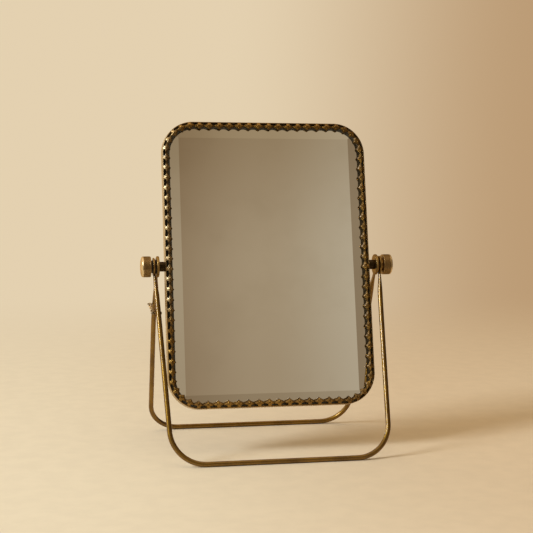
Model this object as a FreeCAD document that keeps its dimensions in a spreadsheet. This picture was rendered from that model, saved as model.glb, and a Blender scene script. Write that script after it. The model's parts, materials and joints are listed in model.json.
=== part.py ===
import FreeCAD, Part
import math
import os
import Sketcher
from FreeCAD import Placement, Rotation, Vector

# A table mirror in antique brass: a bevelled plate in a tray with a pierced leaf gallery, pivoted between
# two wire legs that a short stay chain keeps from spreading.
# Millimetres, +Z up, +X to the right, the mirror faces -Y. The table is at zero height, the origin is under
# the middle of the whole, and the pivots lie on a line along X above it.

SIZES = {
    # legs: bent wire, each a U that hangs from the pivots
    "wire_dia": 4.0,
    "pivot_height": 148.0,
    "front_reach": 61.0,
    "rear_reach": 77.0,
    "front_wire_out": 1.1,
    "front_taper": 6.85,
    "front_bend": 27.5,
    "front_set": 1.5,
    "rear_wire_in": 1.35,
    "rear_taper": 4.4,
    "rear_bend": 25.0,
    "rear_set": 3.25,
    "set_length": 60.0,
    # tray and mirror plate
    "frame_width": 167.4,
    "frame_height": 230.6,
    "frame_corner": 25.0,
    "centre_rise": 2.1,
    "lean_angle": 12.3,
    "band_depth": 7.0,
    "band_wall": 0.9,
    "back_sheet": 0.7,
    "pad_gap": 0.1,
    "glass_side_gap": 4.8,
    "glass_end_gap": 3.3,
    "glass_corner_in": 3.1,
    "glass_drop": 1.2,
    "glass_thick": 3.0,
    "glass_sink": 0.9,
    "bevel_width": 7.5,
    "bevel_depth": 1.2,
    # pierced gallery
    "rail_depth": 1.0,
    "leaf_sheet": 0.7,
    "leaf_rise": 1.1,
    "leaf_lean": 1.2,
    "leaf_reach": 5.7,
    "leaf_dip": 1.2,
    "neck_width": 2.8,
    "lobe_width": 5.6,
    "lobe_reach": 2.8,
    "neck_reach": 1.5,
    "shoulder_width": 3.2,
    "shoulder_reach": 4.0,
    "tip_width": 0.7,
    # pivots, from the tray outwards
    "boss_radius": 3.9,
    "boss_length": 5.2,
    "boss_edge": 0.4,
    "stud_radius": 2.0,
    "stud_seat": 4.6,
    "stud_grip": 5.0,
    "run_gap": 0.05,
    "bore_gap": 0.05,
    "rear_lug_radius": 8.4,
    "rear_lug_thick": 2.1,
    "front_lug_radius": 7.1,
    "front_lug_thick": 1.7,
    "lug_edge": 0.3,
    "inner_washer_radius": 5.6,
    "inner_washer_thick": 0.9,
    "outer_washer_radius": 5.0,
    "outer_washer_thick": 1.7,
    "washer_bore_gap": 0.1,
    "knob_radius": 8.3,
    "knob_length": 6.4,
    "knob_rim": 0.9,
    "knob_step": 0.45,
    "knob_crown": 1.7,
    "knurl_depth": 0.4,
    "knurl_width": 0.7,
    "bore_end_gap": 0.5,
    # stay chain on the left
    "front_eye_drop": 35.3,
    "rear_eye_drop": 31.5,
    "pin_radius": 0.7,
    "pin_head_radius": 1.2,
    "pin_head_thick": 0.7,
    "pin_head_gap": 0.1,
    "eye_neck": 0.5,
    "eye_radius": 1.5,
    "eye_wire": 0.9,
    "link_wire": 0.8,
    "link_half_width": 1.15,
    "link_play": 0.2,
    # how far a cutting shape runs past what it cuts
    "overrun": 5.0,
}
LEAF_COUNT = 92
KNURL_COUNT = 48
LINK_COUNT = 7
CHAIN_WIRE_SIDES = 6
# where the knob's crowned end breaks slope, as shares of its crown and radius
CROWN_HEIGHT_SHARE = 0.75
CROWN_RADIUS_SHARE = 0.5


class Size:
    """A number of millimetres together with the sheet expression that gives it."""

    def __init__(self, value, text):
        self.value = float(value)
        self.text = text

    @staticmethod
    def of(other):
        return other if isinstance(other, Size) else Size(other, repr(other))

    def join(self, sign, other, value):
        return Size(value, f"({self.text} {sign} {Size.of(other).text})")

    def __add__(self, other):
        return self.join("+", other, self.value + Size.of(other).value)

    def __sub__(self, other):
        return self.join("-", other, self.value - Size.of(other).value)

    def __mul__(self, other):
        return self.join("*", other, self.value * Size.of(other).value)

    def __truediv__(self, other):
        return self.join("/", other, self.value / Size.of(other).value)

    def __neg__(self):
        return Size(-self.value, f"(-1 * {self.text})")


def root(size):
    """The square root of a size, for sloping lengths."""
    return Size(math.sqrt(size.value), f"sqrt({size.text})")


def slope(rise, run):
    """The angle in degrees whose tangent is rise over run."""
    angle = math.degrees(math.atan(rise.value / run.value))
    return Size(angle, f"(atan({rise.text} / {run.text}) / 1 deg)")


def sine(angle):
    """The sine of an angle in degrees."""
    return Size(math.sin(math.radians(angle.value)), f"sin({angle.text} * 1 deg)")


def cosine(angle):
    """The cosine of an angle in degrees."""
    return Size(math.cos(math.radians(angle.value)), f"cos({angle.text} * 1 deg)")


class Sheet:
    """The driving dimensions, each one a Size by its own name."""


doc = FreeCAD.newDocument("table_mirror")
sheet = doc.addObject("Spreadsheet::Sheet", "sizes")
S = Sheet()
for row, (alias, number) in enumerate(SIZES.items(), start=1):
    sheet.set(f"A{row}", alias)
    sheet.set(f"B{row}", str(number))
    sheet.setAlias(f"B{row}", alias)
    setattr(S, alias, Size(number, f"sizes.{alias}"))
doc.recompute()

# working sizes that several pieces share
NIL = Size(0.0, "0")
wire_radius = S.wire_dia / 2
leg_drop = S.pivot_height - wire_radius
# the legs reach different ways from the pivots, whose line is off the middle by half the difference
pivot_depth = (S.front_reach - S.rear_reach) / 2
frame_half = S.frame_width / 2
band_half = S.band_depth / 2
tray_back = band_half + S.back_sheet
glass_front = S.glass_sink - band_half
glass_back = glass_front + S.glass_thick
glass_width = S.frame_width - (S.band_wall + S.glass_side_gap) * 2
glass_height = S.frame_height - (S.band_wall + S.glass_end_gap) * 2
glass_corner = S.frame_corner - S.band_wall - S.glass_corner_in

boss_end = frame_half + S.boss_length
rear_lug_in = boss_end + S.run_gap
rear_lug_out = rear_lug_in + S.rear_lug_thick
inner_washer_in = rear_lug_out + S.run_gap
front_lug_in = inner_washer_in + S.inner_washer_thick
front_lug_out = front_lug_in + S.front_lug_thick
outer_washer_out = front_lug_out + S.outer_washer_thick
knob_in = outer_washer_out + S.run_gap
knob_out = knob_in + S.knob_length
stud_in = boss_end - S.stud_seat
stud_out = knob_in + S.stud_grip

# half the space between a leg's sides, if they ran straight up to the pivots, and at its foot
front_top_half = (front_lug_in + front_lug_out) / 2 + S.front_wire_out - S.front_set
front_halves = (front_top_half, front_top_half - S.front_taper)
rear_top_half = (rear_lug_in + rear_lug_out) / 2 - S.rear_wire_in + S.rear_set
rear_halves = (rear_top_half, rear_top_half - S.rear_taper)


def bind(thing, path, size):
    """Bind one property of a document object to a size."""
    thing.setExpression(path, size.text)


def place(thing, base=(NIL, NIL, NIL), axis=Vector(1, 0, 0), angle=NIL):
    """Bind where a document object stands and how far it turns about an axis."""
    thing.Placement = Placement(Vector(*(part.value for part in base)), Rotation(axis, angle.value))
    for letter, part in zip("xyz", base):
        bind(thing, f"Placement.Base.{letter}", part)
    bind(thing, "Placement.Rotation.Angle", angle)


def new_body(label):
    """An empty body whose label names its file."""
    body = doc.addObject("PartDesign::Body", label)
    body.Label = label
    return body


def origin_part(body, role):
    """One of the body's own planes or axes."""
    return next(part for part in body.Origin.OriginFeatures if part.Role == role)


def new_sketch(body, label, role):
    """A sketch flat on one of the body's own planes."""
    sketch = body.newObject("Sketcher::SketchObject", label)
    sketch.AttachmentSupport = [(origin_part(body, role), "")]
    sketch.MapMode = "FlatFace"
    return sketch


def shift_sketch(sketch, along):
    """Move a sketch along its own normal."""
    sketch.AttachmentOffset = Placement(Vector(0, 0, along.value), Rotation())
    bind(sketch, "AttachmentOffset.Base.z", along)


def hold(sketch, kind, size, *ends):
    """Add one dimension to a sketch and bind it to a size."""
    name = f"d{sketch.ConstraintCount}"
    index = sketch.addConstraint(Sketcher.Constraint(kind, *ends, size.value))
    sketch.renameConstraint(index, name)
    bind(sketch, f"Constraints.{name}", size)


def fix_point(sketch, edge, end, across, up):
    """Hold one end of an edge at a distance across and up from the sketch's origin."""
    for kind, size, axis in (("DistanceX", across, -2), ("DistanceY", up, -1)):
        if size.value == 0:
            sketch.addConstraint(Sketcher.Constraint("PointOnObject", edge, end, axis))
        else:
            hold(sketch, kind, size, -1, 1, edge, end)


def add_polygon(sketch, points):
    """Draw a closed outline of straight edges through points that are pairs of sizes."""
    corners = [Vector(across.value, up.value, 0) for across, up in points]
    first = sketch.GeometryCount
    count = len(corners)
    for here in range(count):
        sketch.addGeometry(Part.LineSegment(corners[here], corners[(here + 1) % count]), False)
    for here in range(count):
        after = (here + 1) % count
        sketch.addConstraint(Sketcher.Constraint("Coincident", first + here, 2, first + after, 1))
    for here, (across, up) in enumerate(points):
        fix_point(sketch, first + here, 1, across, up)


def add_circle(sketch, radius):
    """Draw a circle about the sketch's origin."""
    index = sketch.addGeometry(Part.Circle(Vector(0, 0, 0), Vector(0, 0, 1), radius.value), False)
    sketch.addConstraint(Sketcher.Constraint("Coincident", index, 3, -1, 1))
    hold(sketch, "Radius", radius, index)


def add_round_rectangle(sketch, width, height, corner):
    """Draw a rectangle with round corners about the sketch's origin."""
    w, h, r = width.value / 2, height.value / 2, corner.value
    quarter = math.pi / 2
    normal = Vector(0, 0, 1)
    lines = [
        ((r - w, h), (w - r, h)),
        ((w, h - r), (w, r - h)),
        ((w - r, -h), (r - w, -h)),
        ((-w, r - h), (-w, h - r)),
    ]
    centres = [(w - r, h - r), (w - r, r - h), (r - w, r - h), (r - w, h - r)]
    turns = [0, 3, 2, 1]
    first = sketch.GeometryCount
    for (start, end), centre, turn in zip(lines, centres, turns):
        sketch.addGeometry(Part.LineSegment(Vector(*start, 0), Vector(*end, 0)), False)
        circle = Part.Circle(Vector(*centre, 0), normal, r)
        sketch.addGeometry(Part.ArcOfCircle(circle, turn * quarter, (turn + 1) * quarter), False)
    for side in range(4):
        line, arc, after = first + 2 * side, first + 2 * side + 1, first + (2 * side + 2) % 8
        sketch.addConstraint(Sketcher.Constraint("Tangent", line, 2, arc, 2))
        sketch.addConstraint(Sketcher.Constraint("Tangent", arc, 1, after, 1))
        sketch.addConstraint(Sketcher.Constraint("Vertical" if side % 2 else "Horizontal", line))
        if side:
            sketch.addConstraint(Sketcher.Constraint("Equal", first + 1, arc))
    sketch.addConstraint(Sketcher.Constraint("Symmetric", first + 1, 3, first + 5, 3, -1, 1))
    hold(sketch, "Radius", corner, first + 1)
    hold(sketch, "DistanceX", width, first + 6, 1, first + 2, 1)
    hold(sketch, "DistanceY", height, first + 4, 1, first, 1)


def pad(body, sketch, length):
    """Pad a sketch along its normal."""
    feature = body.newObject("PartDesign::Pad", "Pad")
    feature.Profile = sketch
    bind(feature, "Length", length)
    body.Tip = feature
    return feature


def turn_about_x(label, points):
    """A turned body about the pivots' line, from an outline of places along X and radii."""
    body = new_body(label)
    outline = new_sketch(body, f"{label}_outline", "XZ_Plane")
    add_polygon(outline, points)
    turned = body.newObject("PartDesign::Revolution", "Revolution")
    turned.Profile = outline
    turned.ReferenceAxis = (origin_part(body, "X_Axis"), [""])
    turned.Angle = 360
    body.Tip = turned
    place(body, (NIL, pivot_depth, S.pivot_height))
    return body


def mirrored(source, label):
    """The same piece on the other side of the middle."""
    twin = doc.addObject("Part::Mirroring", label)
    twin.Label = label
    twin.Source = source
    twin.Normal = Vector(1, 0, 0)
    return twin


def lean(body):
    """Stand a tray piece in the mirror's leaning plane, its middle just above the pivots' line."""
    lean_from(body, S.centre_rise)


def lean_from(body, rise):
    """Stand a piece in the mirror's leaning plane, its middle so far up that plane from the pivots."""
    back = pivot_depth + rise * sine(S.lean_angle)
    up = S.pivot_height + rise * cosine(S.lean_angle)
    place(body, (NIL, back, up), Vector(1, 0, 0), -S.lean_angle)


def leg_wire(label, top_half, foot_half, bend, set_out, reach, is_front):
    """Half of a leg swept from the middle of its foot to the pivots' line, then mirrored across the middle.

    The side runs straight from the foot's bend and is set over a little near its top, so that it meets
    the middle of its own lug.
    """
    body = new_body(f"{label}_wire")
    tilt = slope(reach, leg_drop)
    length = root(reach * reach + leg_drop * leg_drop)
    side_tilt = slope(top_half - foot_half, length)
    path = new_sketch(body, f"{label}_path", "XZ_Plane")
    depth = reach if is_front else -reach
    turn = -tilt if is_front else tilt
    tipped = Rotation(Vector(1, 0, 0), turn.value)
    path.AttachmentOffset = Placement(Vector(0, wire_radius.value, depth.value), tipped)
    bind(path, "AttachmentOffset.Base.y", wire_radius)
    bind(path, "AttachmentOffset.Base.z", depth)
    bind(path, "AttachmentOffset.Rotation.Angle", turn)

    angle = math.radians(side_tilt.value)
    along = Vector(math.sin(angle), math.cos(angle), 0)
    corner = Vector(foot_half.value, 0, 0)
    back = bend.value / math.tan((math.pi / 2 + angle) / 2)
    foot_end = corner - Vector(back, 0, 0)
    side_start = corner + along * back
    centre = foot_end + Vector(0, bend.value, 0)
    side_end = corner + along * (length.value / math.cos(angle) - S.set_length.value)
    # the set at the top is an arc that leaves the side smoothly and moves it over by set_out
    run = S.set_length.value
    set_radius = S.set_length * S.set_length / (set_out * 2)
    swing = run / set_radius.value
    side = 1 if is_front else -1
    across = Vector(along.y, -along.x, 0) * side
    set_centre = side_end + across * set_radius.value

    sketch_edges = [Part.LineSegment(Vector(0, 0, 0), foot_end)]
    low = math.atan2(side_start.y - centre.y, side_start.x - centre.x)
    sketch_edges.append(Part.ArcOfCircle(Part.Circle(centre, Vector(0, 0, 1), bend.value), -math.pi / 2, low))
    sketch_edges.append(Part.LineSegment(side_start, side_end))
    begin = math.atan2(side_end.y - set_centre.y, side_end.x - set_centre.x)
    arc_circle = Part.Circle(set_centre, Vector(0, 0, 1), set_radius.value)
    arc_span = (begin - swing, begin) if is_front else (begin, begin + swing)
    sketch_edges.append(Part.ArcOfCircle(arc_circle, *arc_span))
    for edge in sketch_edges:
        path.addGeometry(edge, False)
    near, far = (2, 1) if is_front else (1, 2)
    path.addConstraint(Sketcher.Constraint("Coincident", 0, 1, -1, 1))
    path.addConstraint(Sketcher.Constraint("Horizontal", 0))
    path.addConstraint(Sketcher.Constraint("Tangent", 0, 2, 1, 1))
    path.addConstraint(Sketcher.Constraint("Tangent", 1, 2, 2, 1))
    path.addConstraint(Sketcher.Constraint("Tangent", 2, 2, 3, near))
    hold(path, "Radius", bend, 1)
    hold(path, "Radius", set_radius, 3)
    top_x = top_half + set_out if is_front else top_half - set_out
    hold(path, "DistanceX", top_x, -1, 1, 3, far)
    hold(path, "DistanceY", length, -1, 1, 3, far)
    path.addConstraint(Sketcher.Constraint("Angle", 0, 1, 2, 1, math.pi / 2 - angle))
    index = path.ConstraintCount - 1
    path.renameConstraint(index, "side_angle")
    path.setExpression("Constraints.side_angle", f"90 deg - {side_tilt.text} * 1 deg")

    section = new_sketch(body, f"{label}_section", "YZ_Plane")
    section.AttachmentOffset = Placement(Vector(-depth.value, wire_radius.value, 0), Rotation())
    bind(section, "AttachmentOffset.Base.x", -depth)
    bind(section, "AttachmentOffset.Base.y", wire_radius)
    add_circle(section, wire_radius)
    sweep = body.newObject("PartDesign::AdditivePipe", "Sweep")
    sweep.Profile = section
    sweep.Spine = (path, [f"Edge{number + 1}" for number in range(len(sketch_edges))])
    twin = body.newObject("PartDesign::Mirrored", "Mirrored")
    twin.Originals = [sweep]
    twin.MirrorPlane = (origin_part(body, "YZ_Plane"), [""])
    body.Tip = twin
    place(body, (NIL, pivot_depth, NIL))
    return body


front_wire = leg_wire("front_leg", *front_halves, S.front_bend, S.front_set, S.front_reach, True)
rear_wire = leg_wire("rear_leg", *rear_halves, S.rear_bend, S.rear_set, S.rear_reach, False)


def turned_pair(name, points):
    """A turned piece on the right pivot and its mirror image on the left."""
    right = turn_about_x(f"right_{name}", points)
    return right, mirrored(right, f"left_{name}")


def flat_ring_outline(inner, outer, radius, bore):
    """The outline of a flat ring."""
    return [(inner, bore), (outer, bore), (outer, radius), (inner, radius)]


def ring_outline(inner, outer, radius, bore, edge):
    """The outline of a flat ring with its two rim edges broken."""
    return [
        (inner, bore),
        (outer, bore),
        (outer, radius - edge),
        (outer - edge, radius),
        (inner + edge, radius),
        (inner, radius - edge),
    ]


lug_bore = S.stud_radius + S.bore_gap
washer_bore = S.stud_radius + S.washer_bore_gap
crown_out = knob_out + S.knob_crown
crown_break = knob_out + S.knob_crown * CROWN_HEIGHT_SHARE
knob_bore_end = stud_out + S.bore_end_gap

bosses = turned_pair(
    "boss",
    [
        (frame_half, NIL),
        (stud_in, NIL),
        (stud_in, S.stud_radius),
        (boss_end, S.stud_radius),
        (boss_end, S.boss_radius - S.boss_edge),
        (boss_end - S.boss_edge, S.boss_radius),
        (frame_half, S.boss_radius),
    ],
)
studs = turned_pair(
    "stud",
    [(stud_in, NIL), (stud_out, NIL), (stud_out, S.stud_radius), (stud_in, S.stud_radius)],
)
rear_lugs = turned_pair(
    "rear_lug",
    ring_outline(rear_lug_in, rear_lug_out, S.rear_lug_radius, lug_bore, S.lug_edge),
)
front_lugs = turned_pair(
    "front_lug",
    ring_outline(front_lug_in, front_lug_out, S.front_lug_radius, lug_bore, S.lug_edge),
)
inner_washers = turned_pair(
    "inner_washer",
    flat_ring_outline(inner_washer_in, front_lug_in, S.inner_washer_radius, washer_bore),
)
outer_washers = turned_pair(
    "outer_washer",
    flat_ring_outline(front_lug_out, outer_washer_out, S.outer_washer_radius, washer_bore),
)


def knurled_knob():
    """The right clamping knob: a crowned end and a band between two rims, cut all round with fine grooves."""
    rim_radius = S.knob_radius - S.knob_step
    body = turn_about_x(
        "right_knob",
        [
            (knob_in, lug_bore),
            (knob_in, rim_radius),
            (knob_in + S.knob_rim, rim_radius),
            (knob_in + S.knob_rim, S.knob_radius),
            (knob_out - S.knob_rim, S.knob_radius),
            (knob_out - S.knob_rim, rim_radius),
            (knob_out, rim_radius),
            (crown_break, S.knob_radius * CROWN_RADIUS_SHARE),
            (crown_out, NIL),
            (knob_bore_end, NIL),
            (knob_bore_end, lug_bore),
        ],
    )
    groove = new_sketch(body, "groove_outline", "YZ_Plane")
    half = S.knurl_width / 2
    floor = S.knob_radius - S.knurl_depth
    rim = S.knob_radius + S.knurl_depth
    add_polygon(groove, [(NIL, floor), (half, rim), (-half, rim)])
    cut = body.newObject("PartDesign::Pocket", "Groove")
    cut.Profile = groove
    cut.Type = "ThroughAll"
    cut.Midplane = True
    ring = body.newObject("PartDesign::PolarPattern", "Knurl")
    ring.Originals = [cut]
    ring.Axis = (origin_part(body, "X_Axis"), [""])
    ring.Angle = 360
    ring.Occurrences = KNURL_COUNT
    body.Tip = ring
    return body


right_knob = knurled_knob()
left_knob = mirrored(right_knob, "left_knob")


def tray_plate(label, width, height, corner, front, back, inner=None):
    """A flat plate or ring with round corners in the mirror's leaning plane, between two depths."""
    body = new_body(label)
    outline = new_sketch(body, f"{label}_outline", "XZ_Plane")
    shift_sketch(outline, -back)
    add_round_rectangle(outline, width, height, corner)
    if inner is not None:
        add_round_rectangle(outline, *inner)
    pad(body, outline, back - front)
    lean(body)
    return body


wall = S.band_wall
inside = (S.frame_width - wall * 2, S.frame_height - wall * 2, S.frame_corner - wall)
outside = (S.frame_width, S.frame_height, S.frame_corner)
frame_band = tray_plate("frame_band", *outside, -band_half, band_half, inside)
back_plate = tray_plate("back_plate", *outside, band_half, tray_back)
gap = S.pad_gap
pad_outline = (inside[0] - gap * 2, inside[1] - gap * 2, inside[2] - gap)
backing_board = tray_plate("backing_board", *pad_outline, glass_back, band_half)


def bevelled_glass():
    """The mirror plate: a slab, a frustum for the four ground bevels, and corners cut round."""
    body = new_body("mirror_glass")
    half_width, half_height = glass_width / 2, glass_height / 2
    rim = glass_front + S.bevel_depth
    slab = body.newObject("PartDesign::AdditiveBox", "Slab")
    bind(slab, "Length", glass_width)
    bind(slab, "Width", glass_back - rim)
    bind(slab, "Height", glass_height)
    slab.AttachmentSupport = [(origin_part(body, "XY_Plane"), "")]
    slab.MapMode = "FlatFace"
    slab.AttachmentOffset = Placement(Vector(-half_width.value, rim.value, -half_height.value), Rotation())
    bind(slab, "AttachmentOffset.Base.x", -half_width)
    bind(slab, "AttachmentOffset.Base.y", rim)
    bind(slab, "AttachmentOffset.Base.z", -half_height)
    bevel = body.newObject("PartDesign::AdditiveWedge", "Bevel")
    sizes = {
        "Ymin": glass_front,
        "Ymax": rim,
        "Xmin": S.bevel_width - half_width,
        "Xmax": half_width - S.bevel_width,
        "Zmin": S.bevel_width - half_height,
        "Zmax": half_height - S.bevel_width,
        "X2min": -half_width,
        "X2max": half_width,
        "Z2min": -half_height,
        "Z2max": half_height,
    }
    for name, size in sizes.items():
        setattr(bevel, name, size.value)
    for name, size in sizes.items():
        bind(bevel, name, size)
    bevel.AttachmentSupport = [(origin_part(body, "XY_Plane"), "")]
    bevel.MapMode = "FlatFace"
    trim = new_sketch(body, "corner_trim", "XZ_Plane")
    add_round_rectangle(trim, glass_width, glass_height, glass_corner)
    past = S.overrun
    right, top = half_width + past, half_height + past
    add_polygon(trim, [(-right, -top), (right, -top), (right, top), (-right, top)])
    cut = body.newObject("PartDesign::Pocket", "Corners")
    cut.Profile = trim
    cut.Type = "ThroughAll"
    cut.Midplane = True
    body.Tip = cut
    lean_from(body, S.centre_rise - S.glass_drop)
    return body


mirror_glass = bevelled_glass()


def leaf_tooth():
    """One leaf of the gallery, as it stands on the middle of the tray's top edge.

    A strip is bent from its side view, up off the rail and over towards the glass, and the leaf's plan is
    cut out of it: a neck, two lobes and a pointed tip.
    """
    strip = new_body("leaf_strip")
    side = new_sketch(strip, "leaf_side", "YZ_Plane")
    sheet_thick = S.leaf_sheet
    foot_in = (S.band_wall - sheet_thick) / 2
    foot = band_half + S.rail_depth / 2
    crest = band_half + S.rail_depth + S.leaf_rise
    end = crest - S.leaf_dip
    add_polygon(
        side,
        [
            (-foot, -foot_in),
            (-crest, -S.leaf_lean),
            (-end, -S.leaf_reach),
            (sheet_thick - end, -S.leaf_reach),
            (sheet_thick - crest, -(S.leaf_lean + sheet_thick)),
            (-foot, -(foot_in + sheet_thick)),
        ],
    )
    bent = pad(strip, side, S.lobe_width)
    bent.Midplane = True
    plan = new_body("leaf_plan")
    outline = new_sketch(plan, "leaf_outline", "XZ_Plane")
    half_plan = [
        (S.neck_width / 2, S.overrun),
        (S.neck_width / 2, -S.neck_reach),
        (S.lobe_width / 2, -S.lobe_reach),
        (S.shoulder_width / 2, -S.shoulder_reach),
        (S.tip_width / 2, -S.leaf_reach),
    ]
    add_polygon(outline, half_plan + [(-across, up) for across, up in reversed(half_plan)])
    pad(plan, outline, crest + S.overrun)
    tooth = doc.addObject("Part::Common", "leaf_tooth")
    tooth.Base = strip
    tooth.Tool = plan
    return tooth


def edge_stations(count):
    """Evenly spaced places round the tray's edge, each with the turn that faces a leaf inwards."""
    width, height, corner = S.frame_width.value, S.frame_height.value, S.frame_corner.value
    flat, upright, bow = width - 2 * corner, height - 2 * corner, math.pi / 2 * corner
    total = 2 * (flat + upright) + 4 * bow
    for index in range(count):
        # measured clockwise from the middle of the top edge, a leaf at the middle
        along = (index * total / count + flat / 2) % total
        turn = 0
        for length in (flat, upright, flat, upright):
            half, other = (height / 2, width / 2) if turn % 180 == 0 else (width / 2, height / 2)
            if along < length:
                yield Vector(along - length / 2, 0, half), turn
                break
            along -= length
            if along < bow:
                bent = along / corner
                middle = Vector(other - corner, 0, half - corner)
                out = Vector(math.sin(bent), 0, math.cos(bent)) * corner
                yield middle + out, turn + math.degrees(bent)
                break
            along -= bow
            turn += 90


def pierced_gallery(tooth, rail):
    """The gallery: the rail round the tray's front edge with its leaves.

    The leaves follow straight edges and round corners in turn, which no pattern feature can do.
    """
    leaves = []
    for spot, turn in edge_stations(LEAF_COUNT):
        whole = math.floor(turn / 90) * 90
        side = Rotation(Vector(0, 1, 0), whole)
        leaf = tooth.Shape.copy()
        leaf.Placement = Placement(side.multVec(spot), Rotation(Vector(0, 1, 0), turn))
        leaves.append(leaf)
    gallery = doc.addObject("Part::Feature", "gallery")
    gallery.Label = "gallery"
    flat_rail = rail.Shape.copy()
    flat_rail.Placement = Placement()
    gallery.Shape = flat_rail.multiFuse(leaves).removeSplitter()
    lean(gallery)
    return gallery


tooth = leaf_tooth()
gallery_rail = tray_plate("gallery_rail", *outside, -(band_half + S.rail_depth), -band_half, inside)
doc.recompute()
gallery = pierced_gallery(tooth, gallery_rail)


def along_x(label, radius, length, start, depth, up):
    """A round bar along X from a starting point."""
    bar = doc.addObject("Part::Cylinder", label)
    bind(bar, "Radius", radius)
    bind(bar, "Height", length)
    place(bar, (start, depth, up), Vector(0, 1, 0), Size(90, "90"))
    return bar


def joined(label, pieces):
    """Several shapes joined as one."""
    whole = doc.addObject("Part::MultiFuse", label)
    whole.Label = label
    whole.Shapes = pieces
    whole.Refine = True
    return whole


def wire_section(label, radius, across, turn):
    """The flat section of the chain's wire, off to one side of what it goes round."""
    section = doc.addObject("Part::RegularPolygon", label)
    section.Polygon = CHAIN_WIRE_SIDES
    bind(section, "Circumradius", radius)
    place(section, across, Vector(*turn), Size(90, "90"))
    return section


def wire_bend(label, section, middle, degrees):
    """A bend of the chain's wire, turned about an upright line through a middle point."""
    bend = doc.addObject("Part::Revolution", label)
    bend.Source = section
    bend.Axis = Vector(0, 0, 1)
    bend.Base = Vector(middle.value, 0, 0)
    bind(bend, "Base.x", middle)
    bend.Angle = degrees
    bend.Solid = True
    return bend


class EyePlace:
    """Where a chain eye stands on the left side of a leg."""

    def __init__(self, drop, top_half, foot_half, set_out, reach, is_front):
        share = drop / leg_drop
        along = root(reach * reach + leg_drop * leg_drop) * share
        set_left = (S.set_length - along) / S.set_length
        over = set_out * set_left * set_left
        straight = top_half - (top_half - foot_half) * share
        self.wire = straight + over if is_front else straight - over
        self.depth = pivot_depth - reach * share if is_front else pivot_depth + reach * share
        self.height = S.pivot_height - drop
        self.neck = self.wire + wire_radius + S.eye_neck
        self.across = -(self.neck + S.eye_radius)


front_eye_at = EyePlace(S.front_eye_drop, *front_halves, S.front_set, S.front_reach, True)
rear_eye_at = EyePlace(S.rear_eye_drop, *rear_halves, S.rear_set, S.rear_reach, False)
chain_run = rear_eye_at.depth - front_eye_at.depth
chain_rise = rear_eye_at.height - front_eye_at.height
chain_side = rear_eye_at.across - front_eye_at.across
chain_length = root(chain_run * chain_run + chain_rise * chain_rise + chain_side * chain_side)
chain_tilt = slope(chain_rise, chain_run)


def chain_eye(label, at):
    """A pin riveted through a leg's wire, its outer end a ring for the chain."""
    shank_start = -at.neck
    head_start = wire_radius + S.pin_head_gap - at.wire
    shank_length = S.eye_neck + S.wire_dia + S.pin_head_gap
    shank = along_x(f"{label}_shank", S.pin_radius, shank_length, shank_start, at.depth, at.height)
    head = along_x(f"{label}_head", S.pin_head_radius, S.pin_head_thick, head_start, at.depth, at.height)
    section = wire_section(f"{label}_wire", S.eye_wire / 2, (S.eye_radius, NIL, NIL), (1, 0, 0))
    ring = wire_bend(f"{label}_ring", section, NIL, 360)
    place(ring, (at.across, at.depth, at.height), Vector(1, 0, 0), chain_tilt)
    return joined(label, [shank, head, ring])


front_chain_eye = chain_eye("front_chain_eye", front_eye_at)
rear_chain_eye = chain_eye("rear_chain_eye", rear_eye_at)


def finished_leg(label, wire, lug_radius, at):
    """A leg's wire with its ends coped to fit its lugs' rims, and bored for its chain eye."""
    reach = knob_out + S.overrun
    cope = along_x(f"{label}_cope", lug_radius, reach * 2, -reach, pivot_depth, S.pivot_height)
    start = -(at.neck + S.overrun)
    bore = along_x(f"{label}_bore", S.pin_radius, S.wire_dia + S.overrun * 2, start, at.depth, at.height)
    coped = doc.addObject("Part::Cut", f"{label}_coped")
    coped.Base = wire
    coped.Tool = cope
    leg = doc.addObject("Part::Cut", label)
    leg.Label = label
    leg.Base = coped
    leg.Tool = bore
    return leg


front_leg = finished_leg("front_leg", front_wire, S.front_lug_radius, front_eye_at)
rear_leg = finished_leg("rear_leg", rear_wire, S.rear_lug_radius, rear_eye_at)


def chain_link():
    """One oval link about its own middle, long way along X, sized so the whole chain just fits the eyes."""
    overlap = S.link_wire + S.link_play
    ends = S.eye_wire + S.link_wire + S.link_play * 2 - S.eye_radius * 2
    half_length = (chain_length + ends + overlap * (LINK_COUNT - 1)) / (2 * LINK_COUNT)
    straight = half_length - S.link_half_width
    pieces = []
    for name, end, side, way in (
        ("near", -straight, S.link_half_width, 1),
        ("far", straight, -S.link_half_width, -1),
    ):
        section = wire_section(f"link_{name}_wire", S.link_wire / 2, (end, side, NIL), (0, 1, 0))
        pieces.append(wire_bend(f"link_{name}_bend", section, end, 180))
        run = doc.addObject("Part::Extrusion", f"link_{name}_side")
        run.Base = section
        run.DirMode = "Custom"
        run.Dir = Vector(way, 0, 0)
        bind(run, "LengthFwd", straight * 2)
        run.Solid = True
        pieces.append(run)
    return joined("chain_link", pieces), half_length


def stay_chain(link, half_length):
    """The links in a row between the eyes, every other one turned a quarter round the chain."""
    begin = Vector(front_eye_at.across.value, front_eye_at.depth.value, front_eye_at.height.value)
    finish = Vector(rear_eye_at.across.value, rear_eye_at.depth.value, rear_eye_at.height.value)
    way = (finish - begin).normalize()
    ring_axis = Vector(1, 0, 0).cross(way).normalize()
    flat_axis = way.cross(ring_axis)
    first = S.eye_radius + half_length - (S.eye_wire + S.link_wire) / 2 - S.link_play
    pitch = half_length * 2 - S.link_wire - S.link_play
    links = []
    for index in range(LINK_COUNT):
        across, normal = (ring_axis, flat_axis * -1) if index % 2 == 0 else (flat_axis, ring_axis)
        copy = link.Shape.copy()
        spot = begin + way * (first + pitch * index).value
        copy.Placement = Placement(spot, Rotation(way, across, normal, "XYZ"))
        links.append(copy)
    chain = doc.addObject("Part::Feature", "stay_chain")
    chain.Label = "stay_chain"
    chain.Shape = Part.makeCompound(links)
    return chain


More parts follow.
